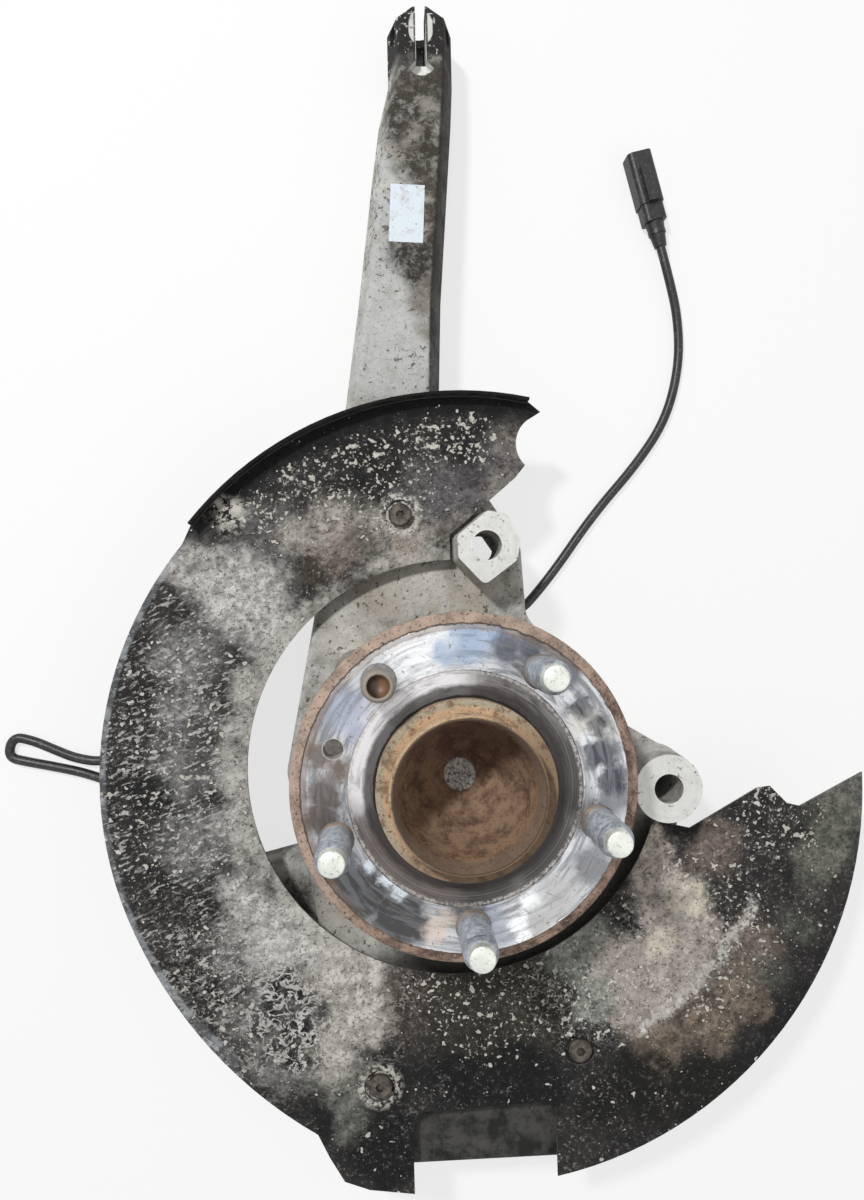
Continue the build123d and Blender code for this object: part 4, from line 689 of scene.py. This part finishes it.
# Pale band of bare turned metal on the pilot's step, strongest on the upper left as a painted highlight
pale_band = hub.both(
    hub.step(ragged_radius, (PALE_BAND_RADIUS - 1) * MM, PALE_BAND_RADIUS * MM),
    hub.step(z, (STEP_HEIGHT - 0.6) * MM, (STEP_HEIGHT - 0.1) * MM),
    hub.scaled(lit_upper_left, 0.2, 0.95),
)
tan = hub.mix(pale_band, tan, srgb(186, 176, 156))
tan = hub.mix(hub.both(hub.step(cloud, 0.5, 0.64), 0.7), tan, srgb(112, 82, 60))
# Painted shade: the pilot darker towards the lower right
tan = hub.mix(hub.both(hub.less(lit_upper_left), 0.6), tan, srgb(92, 70, 54))
tan = hub.mix(hub.step(fine, 0.46, 0.34), tan, srgb(116, 82, 56))
# Painted shade: a dark line along the cup's mouth, on top of the pilot
mouth_shade_line = hub.both(
    hub.step(radius, (CUP_MOUTH + 0.9) * MM, (CUP_MOUTH + 0.3) * MM), hub.step(z, 0.014, 0.016)
)
tan = hub.mix(hub.both(mouth_shade_line, 0.8), tan, srgb(48, 36, 28))

cup_colour = hub.mix(hub.step(cloud, 0.36, 0.62), srgb(98, 76, 61), srgb(158, 131, 106))
# Painted shade: the cup darker towards the top, under its lip
cup_colour = hub.mix(hub.both(hub.step(y, -0.004, 0.020), 0.6), cup_colour, srgb(84, 61, 53))
wall = hub.step(z, (BOWL_EDGE_Z - 0.5) * MM, (BOWL_EDGE_Z + 1.5) * MM)
cup_colour = hub.mix(hub.both(wall, 0.7), cup_colour, srgb(128, 110, 94))
bowl_edge = hub.both(hub.band(z, BOWL_EDGE_Z - 7, BOWL_EDGE_Z - 1, 4), hub.less(wall))
edge_specks = hub.both(bowl_edge, hub.step(fine, 0.5, 0.62))
cup_colour = hub.mix(hub.both(edge_specks, 0.8), cup_colour, srgb(196, 140, 90))
cup_colour = hub.mix(hub.both(hub.step(fine, 0.55, 0.68), 0.7), cup_colour, srgb(172, 134, 104))
cup_colour = hub.mix(hub.both(hub.step(fine, 0.46, 0.32), 0.7), cup_colour, srgb(46, 33, 27))
spot_grain = hub.step(hub.noise(0.0012, 4.0, 0.75), 0.38, 0.58)
spot_colour = hub.mix(spot_grain, srgb(104, 106, 104), srgb(226, 228, 226))

colour = hub.mix(ring, rust, dark_ring)
colour = hub.mix(face, colour, polish_and_reflections)
colour = hub.mix(pilot, colour, tan)
hole_reach = hub.reach(x, y, SMALL_HOLE[0] * MM, SMALL_HOLE[1] * MM)
small_hole = hub.step(hole_reach, (SMALL_HOLE_RADIUS + 0.3) * MM, SMALL_HOLE_RADIUS * MM)
hole_colour = hub.mix(fine, srgb(120, 112, 104), srgb(226, 224, 220))
colour = hub.mix(small_hole, colour, hole_colour)
colour = hub.mix(cup, colour, cup_colour)
colour = hub.mix(centre_spot, colour, spot_colour)
bare = hub.any(face, hub.both(ring, 0.5), hub.both(pilot, pale_band, 0.4))
rough_rust = hub.less(hub.any(face, ring))
hub.set(
    Base_Color=colour,
    Metallic=hub.both(bare, 0.92),
    Roughness=hub.calc("ADD", hub.both(rough_rust, 0.5), hub.scaled(smears_and_reflections, 0.2, 0.42)),
)
hub.bump(hub.both(fine, rough_rust), 0.0005, 0.9)
hub.bump(hub.both(cloud, rough_rust), 0.0006, 0.5)
hub.bump(hub.both(lines, ring), 0.0001, 0.6)
hub.bump(hub.both(scratches, face), -0.00005, 0.6)
hub.dress("wheel_hub")


# Studs: bluish zinc, tan at the foot and creamy at the end
STUD_ANGLES = [55.9 + 72 * index for index in range(5)]
STUD_CIRCLE = 57.15 * MM
BROKEN_STUD = 1


def stud_centre(index):
    angle = radians(STUD_ANGLES[index])
    return STUD_CIRCLE * cos(angle), STUD_CIRCLE * sin(angle)


def stud_surface(name, end_low, hollow_at=None):
    """Zinc that turns creamy above a height in millimetres, with a rusty hollow where one is given."""
    zinc = Surface(name, Metallic=0.6)
    x, y, z = zinc.coordinates()
    patches = zinc.noise(0.003, 5.0, 0.7)
    colour = zinc.mix(zinc.step(patches, 0.36, 0.64), srgb(136, 142, 150), srgb(184, 189, 196))
    foot = zinc.both(zinc.step(z, 7 * MM, 1 * MM), zinc.step(patches, 0.36, 0.6), 0.85)
    colour = zinc.mix(foot, colour, srgb(168, 140, 108))
    end = zinc.both(zinc.step(z, end_low * MM, (end_low + 1.2) * MM), zinc.scaled(patches, 0.75, 1.1))
    colour = zinc.mix(end, colour, srgb(228, 231, 222))
    specks = zinc.step(zinc.noise(0.0011, 4.0, 0.7), 0.44, 0.34)
    colour = zinc.mix(zinc.both(specks, 0.6), colour, srgb(96, 88, 78))
    if hollow_at:
        inside = zinc.step(zinc.reach(x, y, *hollow_at), 4.9 * MM, 4.3 * MM)
        hollow = zinc.both(inside, zinc.step(z, 19.0 * MM, 20.5 * MM))
        lit_half = zinc.step(zinc.calc("SUBTRACT", x, hollow_at[0]), -1.6 * MM, 1.2 * MM)
        colour = zinc.mix(zinc.both(zinc.step(z, 17.0 * MM, 22.0 * MM), 0.8), colour, srgb(124, 108, 94))
        colour = zinc.mix(hollow, colour, zinc.mix(lit_half, srgb(54, 39, 31), srgb(118, 88, 65)))
        zinc.set(Metallic=zinc.scaled(zinc.step(z, 17.0 * MM, 20.0 * MM), 0.6, 0.0))
    zinc.set(Base_Color=colour, Roughness=zinc.scaled(patches, 0.32, 0.62))
    zinc.bump(zinc.noise(0.0008, 3.0), 0.0001, 0.5)
    return zinc


stud_zinc = stud_surface("stud_zinc", 30.4)
broken_zinc = stud_surface("broken_stud_zinc", 21.0, stud_centre(BROKEN_STUD))


# Smaller pieces: clouded metal, rubber and plastic
def plain_surface(name, dark, pale, patch, metallic, rough, relief):
    surface = Surface(name, Metallic=metallic)
    cloud = surface.noise(patch, 6.0, 0.65)
    dust = surface.both(surface.step(surface.noise(patch / 5, 4.0, 0.7), 0.56, 0.7), 0.25)
    colour = surface.mix(surface.step(cloud, 0.35, 0.68), dark, pale)
    surface.set(
        Base_Color=surface.mix(dust, colour, srgb(190, 184, 174)),
        Roughness=surface.scaled(cloud, rough - 0.12, rough + 0.12),
    )
    surface.bump(surface.noise(patch / 8, 4.0, 0.6), relief, 0.8)
    return surface


fasteners = plain_surface("fastener_steel", srgb(50, 46, 42), srgb(112, 104, 95), 0.004, 0.4, 0.62, 0.0003)
fasteners.dress("sensor_screw", *[f"shield_screw_{i}" for i in (1, 2, 3)])
fasteners.dress(*[f"bearing_bolt_{i}" for i in (1, 2, 3, 4)])
bearing = plain_surface("bearing_steel", srgb(110, 104, 98), srgb(160, 156, 150), 0.008, 0.8, 0.45, 0.0001)
bearing.dress("bearing_inner_ring", "bearing_outer_ring", "outboard_balls", "inboard_balls")
cap = plain_surface("cap_steel", srgb(62, 58, 55), srgb(96, 92, 88), 0.01, 0.5, 0.55, 0.0002)
cap.dress("bearing_end_cap")
seals = plain_surface("seal_rubber", srgb(26, 26, 27), srgb(44, 42, 41), 0.006, 0.0, 0.7, 0.0002)
seals.dress("outboard_seal", "inboard_seal", "encoder_ring")
cages = plain_surface("cage_plastic", srgb(44, 44, 46), srgb(60, 59, 58), 0.006, 0.0, 0.55, 0.0001)
cages.dress("outboard_cage", "inboard_cage")
plastic = plain_surface("connector_plastic", srgb(20, 20, 21), srgb(40, 39, 38), 0.006, 0.0, 0.45, 0.0001)
plastic.dress("cable_connector", "wheel_speed_sensor")
jacket = plain_surface("cable_rubber", srgb(16, 16, 17), srgb(36, 35, 34), 0.008, 0.0, 0.4, 0.0001)
jacket.dress("connector_boot", "sensor_cable")
pins = plain_surface("pin_brass", srgb(150, 120, 66), srgb(206, 180, 120), 0.002, 0.9, 0.35, 0.00005)
pins.dress("connector_pins")


def shown(name, mesh, material, body):
    """Add a mesh as a piece that rides on a body."""
    mesh.materials.append(material)
    piece = bpy.data.objects.new(name, mesh)
    bpy.context.scene.collection.objects.link(piece)
    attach(piece, body)
    return piece


# Threaded studs, each turned from a line of heights and radii with a helical thread
THREAD_PITCH = 1.5 * MM
THREAD_DEPTH = 0.75 * MM
THREAD_STEPS = 8
THREAD_FOOT = 0.8 * MM
STUD_SIDES = 40
STUD_RADIUS = 7.0 * MM
# The foot and the ends are in millimetres
STUD_HEAD_RADIUS = 9.6
STUD_SHANK_RADIUS = 7.4
FLANGE_BACK_Z = -11.0
THREAD_RUNOUT_RADIUS = 6.9
CAP_RADIUS = 0.3  # innermost ring, closed by a flat face
WHOLE_THREAD_TOP = 28.6 * MM
BROKEN_THREAD_TOP = 19.5 * MM
WHOLE_END = ((29.4, 6.9), (31.0, 5.3), (31.2, 5.2), (34.9, 5.2), (35.4, 5.0), (35.7, 4.5), (35.7, CAP_RADIUS))
BROKEN_END = (
    (20.5, 6.9),
    (23.4, 6.2),
    (25.0, 5.6),
    (25.0, 4.7),
    (23.6, 4.2),
    (21.9, 3.4),
    (21.3, 1.6),
    (21.0, CAP_RADIUS),
)


def stud_mesh(name, centre, foot, thread_low, thread_high, end):
    """Rings of points from the head to the end. The foot and the end are pairs of height and radius."""
    rings = [(height * MM, size * MM, False) for height, size in foot]
    turns = round((thread_high - thread_low) / THREAD_PITCH * THREAD_STEPS)
    for index in range(turns + 1):
        rings.append((thread_low + index * THREAD_PITCH / THREAD_STEPS, STUD_RADIUS, True))
    rings += [(height * MM, size * MM, False) for height, size in end]
    points = []
    for height, size, threaded in rings:
        fade = min(1.0, (thread_high - height) / THREAD_PITCH, (height - thread_low) / THREAD_PITCH)
        for side in range(STUD_SIDES):
            angle = tau * side / STUD_SIDES
            reach = size
            if threaded:
                phase = (height / THREAD_PITCH - side / STUD_SIDES) % 1.0
                reach -= max(fade, 0.0) * THREAD_DEPTH * abs(2 * phase - 1)
            points.append((centre[0] + reach * cos(angle), centre[1] + reach * sin(angle), height))
    faces = []
    for ring in range(len(rings) - 1):
        for side in range(STUD_SIDES):
            low, high = ring * STUD_SIDES, (ring + 1) * STUD_SIDES
            following = (side + 1) % STUD_SIDES
            faces.append((low + side, low + following, high + following, high + side))
    faces.append(tuple(reversed(range(STUD_SIDES))))
    last = (len(rings) - 1) * STUD_SIDES
    faces.append(tuple(range(last, last + STUD_SIDES)))
    mesh = bpy.data.meshes.new(name)
    mesh.from_pydata(points, [], faces)
    mesh.polygons.foreach_set("use_smooth", [True] * len(mesh.polygons))
    return mesh


whole_number = 0
for index in range(len(STUD_ANGLES)):
    if index == BROKEN_STUD:
        node, zinc, thread_top, end = "broken_wheel_stud", broken_zinc, BROKEN_THREAD_TOP, BROKEN_END
    else:
        whole_number += 1
        node, zinc, thread_top, end = f"wheel_stud_{whole_number}", stud_zinc, WHOLE_THREAD_TOP, WHOLE_END
    head_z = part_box(node)[0].z / MM
    foot = (
        (head_z, CAP_RADIUS),
        (head_z, STUD_HEAD_RADIUS - 0.6),
        (head_z + 0.5, STUD_HEAD_RADIUS),
        (FLANGE_BACK_Z, STUD_HEAD_RADIUS),
        (FLANGE_BACK_Z, STUD_SHANK_RADIUS),
        (0.0, STUD_SHANK_RADIUS),
        (0.2, THREAD_RUNOUT_RADIUS),
    )
    mesh = stud_mesh(f"{node}_threaded", stud_centre(index), foot, THREAD_FOOT, thread_top, end)
    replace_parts(shown(f"{node}_threaded", mesh, zinc.material, "hub_side"), node)


# Sensor lead: one smooth spline through the route's points, on the floor
CABLE_DIAMETER = 4.8 * MM
CABLE_Z = -97.6
CABLE_ORDER = 3
CABLE_STEPS = 10
CABLE_SIDE_STEPS = 6
CABLE_ROUTE = (
    (0.0, -72.0, -94.0),
    (0.0, -87.0, -94.0),
    (-8.0, -104.0, CABLE_Z),
    (-34.0, -112.0, CABLE_Z),
    (-64.0, -99.0, CABLE_Z),
    (-91.0, -75.0, CABLE_Z),
    (-113.0, -49.0, CABLE_Z),
    (-138.0, -30.0, CABLE_Z),
    (-162.0, -16.0, CABLE_Z),
    (-184.0, -6.5, CABLE_Z),
    (-203.0, -2.0, CABLE_Z),
    (-214.5, 0.4, CABLE_Z),
    (-224.7, 3.0, CABLE_Z),
    (-222.0, 13.6, CABLE_Z),
    (-212.0, 11.2, CABLE_Z),
    (-202.0, 6.6, CABLE_Z),
    (-190.0, 1.2, CABLE_Z),
    (-175.0, -1.0, CABLE_Z),
    (-150.0, 12.0, CABLE_Z),
    (-128.0, 38.0, CABLE_Z),
    (-106.0, 65.0, CABLE_Z),
    (-76.0, 83.0, CABLE_Z),
    (-38.0, 86.0, CABLE_Z),
    (2.0, 75.0, CABLE_Z),
    (34.0, 66.0, CABLE_Z),
    (55.0, 89.0, CABLE_Z),
    (78.0, 121.0, CABLE_Z),
    (103.0, 148.5, CABLE_Z),
    (119.0, 172.0, CABLE_Z),
    (126.5, 200.0, CABLE_Z),
    (126.0, 225.0, -96.5),
    (120.5, 246.0, -93.6),
    (116.7, 261.3, -93.6),
)
cable_curve = bpy.data.curves.new("sensor_lead", "CURVE")
cable_curve.dimensions = "3D"
cable_curve.bevel_depth = CABLE_DIAMETER / 2
cable_curve.bevel_resolution = CABLE_SIDE_STEPS
cable_curve.use_fill_caps = True
spline = cable_curve.splines.new("NURBS")
spline.points.add(len(CABLE_ROUTE) - 1)
for point, place in zip(spline.points, CABLE_ROUTE):
    point.co = (*[value * MM for value in place], 1.0)
spline.order_u = CABLE_ORDER
spline.use_endpoint_u = True
spline.resolution_u = CABLE_STEPS
cable = shown("sensor_lead", cable_curve, jacket.material, "knuckle_side")
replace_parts(cable, "sensor_cable")


# Blank white sticker on the arm, following its sloping front
LABEL_CENTRE = (-17.3, 265.5)
LABEL_SIZE = (16.6, 28.4)
LABEL_TURN = radians(-3.0)
LABEL_LIFT = 0.12
LABEL_CURL = 0.25
LABEL_RIPPLE = 0.06
LABEL_WAVES = (0.3, 0.9)  # radians of the ripple per millimetre, across and along
LABEL_STEPS = 12
ARM_FRONT = ((226.0, -62.0), (290.0, -64.0))


def arm_front(height):
    (low_y, low_z), (high_y, high_z) = ARM_FRONT
    return low_z + (high_z - low_z) * (height - low_y) / (high_y - low_y)


points = []
for row in range(LABEL_STEPS + 1):
    for column in range(LABEL_STEPS + 1):
        across = (column / LABEL_STEPS - 0.5) * LABEL_SIZE[0]
        along = (row / LABEL_STEPS - 0.5) * LABEL_SIZE[1]
        label_x = LABEL_CENTRE[0] + across * cos(LABEL_TURN) - along * sin(LABEL_TURN)
        label_y = LABEL_CENTRE[1] + across * sin(LABEL_TURN) + along * cos(LABEL_TURN)
        ripple = LABEL_RIPPLE * sin(along * LABEL_WAVES[1] + across * LABEL_WAVES[0])
        curl = LABEL_CURL * abs(across / LABEL_SIZE[0]) ** 3 + ripple
        points.append((label_x * MM, label_y * MM, (arm_front(label_y) + LABEL_LIFT + curl) * MM))
width = LABEL_STEPS + 1
faces = []
for row in range(LABEL_STEPS):
    for column in range(LABEL_STEPS):
        first = row * width + column
        faces.append((first, first + 1, first + width + 1, first + width))
label_mesh = bpy.data.meshes.new("blank_label")
label_mesh.from_pydata(points, [], faces)
label_mesh.polygons.foreach_set("use_smooth", [True] * len(faces))
film = Surface("label_film", Specular_IOR_Level=0.4, Roughness=0.5)
smudges = film.step(film.noise(0.006, 6.0, 0.7, 0.5), 0.5, 0.72)
film_colour = film.mix(film.both(smudges, 0.6), srgb(222, 232, 240), srgb(172, 165, 154))
film.set(Base_Color=film.mix(film.both(film.blots(0.0016, 0.36), 0.6), film_colour, srgb(140, 131, 118)))
film.bump(film.noise(0.003, 3.0), 0.0002, 0.4)
shown("blank_label", label_mesh, film.material, "knuckle_side")


# Floor, light and background
FLOOR_HALF = 6.0
FLOOR_GLOW = 0.72
FLOOR_COLOUR = (0.93, 0.93, 0.925)
KEY_PLACE = (-0.55, 0.75, 1.15)
KEY_AIM = (0.0, 0.05, -0.06)
KEY_SIZE = 0.16
KEY_POWER = 14.0
FILL_PLACE = (0.9, -0.5, 1.2)
FILL_AIM = (0.0, 0.0, -0.06)
FILL_SIZE = 1.2
FILL_POWER = 3.0
WORLD_LIGHT = 0.35
floor_mesh = bpy.data.meshes.new("floor")
floor_mesh.from_pydata(
    [(sx * FLOOR_HALF, sy * FLOOR_HALF, cad_low.z) for sx, sy in ((-1, -1), (1, -1), (1, 1), (-1, 1))],
    [],
    [(0, 1, 2, 3)],
)
floor = bpy.data.objects.new("floor", floor_mesh)
bpy.context.scene.collection.objects.link(floor)
floor_paint = Surface("floor_paint", Roughness=0.9, Base_Color=FLOOR_COLOUR, Specular_IOR_Level=0.1)
path = floor_paint.add("ShaderNodeLightPath").outputs
seen = floor_paint.any(path["Is Camera Ray"], path["Is Glossy Ray"], path["Is Transmission Ray"])
white = floor_paint.add("ShaderNodeEmission").outputs["Emission"]
floor_mix = {0: floor_paint.both(seen, FLOOR_GLOW), 1: floor_paint.shader.outputs["BSDF"], 2: white}
floor_shader = floor_paint.add("ShaderNodeMixShader", floor_mix).outputs["Shader"]
floor_paint.put(floor_paint.tree.nodes["Material Output"].inputs["Surface"], floor_shader)
floor_mesh.materials.append(floor_paint.material)


def lamp(name, place, aim, size, power):
    data = bpy.data.lights.new(name, "AREA")
    data.shape = "DISK"
    data.size = size
    data.energy = power
    light = bpy.data.objects.new(name, data)
    bpy.context.scene.collection.objects.link(light)
    direction = Vector(aim) - Vector(place)
    light.matrix_world = Matrix.Translation(place) @ direction.to_track_quat("-Z", "Y").to_matrix().to_4x4()


lamp("key_light", KEY_PLACE, KEY_AIM, KEY_SIZE, KEY_POWER)
lamp("fill_light", FILL_PLACE, FILL_AIM, FILL_SIZE, FILL_POWER)

world = bpy.data.worlds.new("studio")
world.use_nodes = True
bpy.context.scene.world = world
world_nodes, world_links = world.node_tree.nodes, world.node_tree.links
background = world_nodes["Background"]
background.inputs["Color"].default_value = (1.0, 1.0, 1.0, 1.0)
path = world_nodes.new("ShaderNodeLightPath")
seen = path.outputs["Is Camera Ray"]
for kind in ("Is Glossy Ray", "Is Transmission Ray"):
    either = world_nodes.new("ShaderNodeMath")
    either.operation = "MAXIMUM"
    world_links.new(seen, either.inputs[0])
    world_links.new(path.outputs[kind], either.inputs[1])
    seen = either.outputs[0]
strength = world_nodes.new("ShaderNodeMapRange")
strength.inputs["To Min"].default_value = WORLD_LIGHT
strength.inputs["To Max"].default_value = 1.0
world_links.new(seen, strength.inputs["Value"])
world_links.new(strength.outputs["Result"], background.inputs["Strength"])
bpy.context.scene.view_settings.view_transform = "Standard"
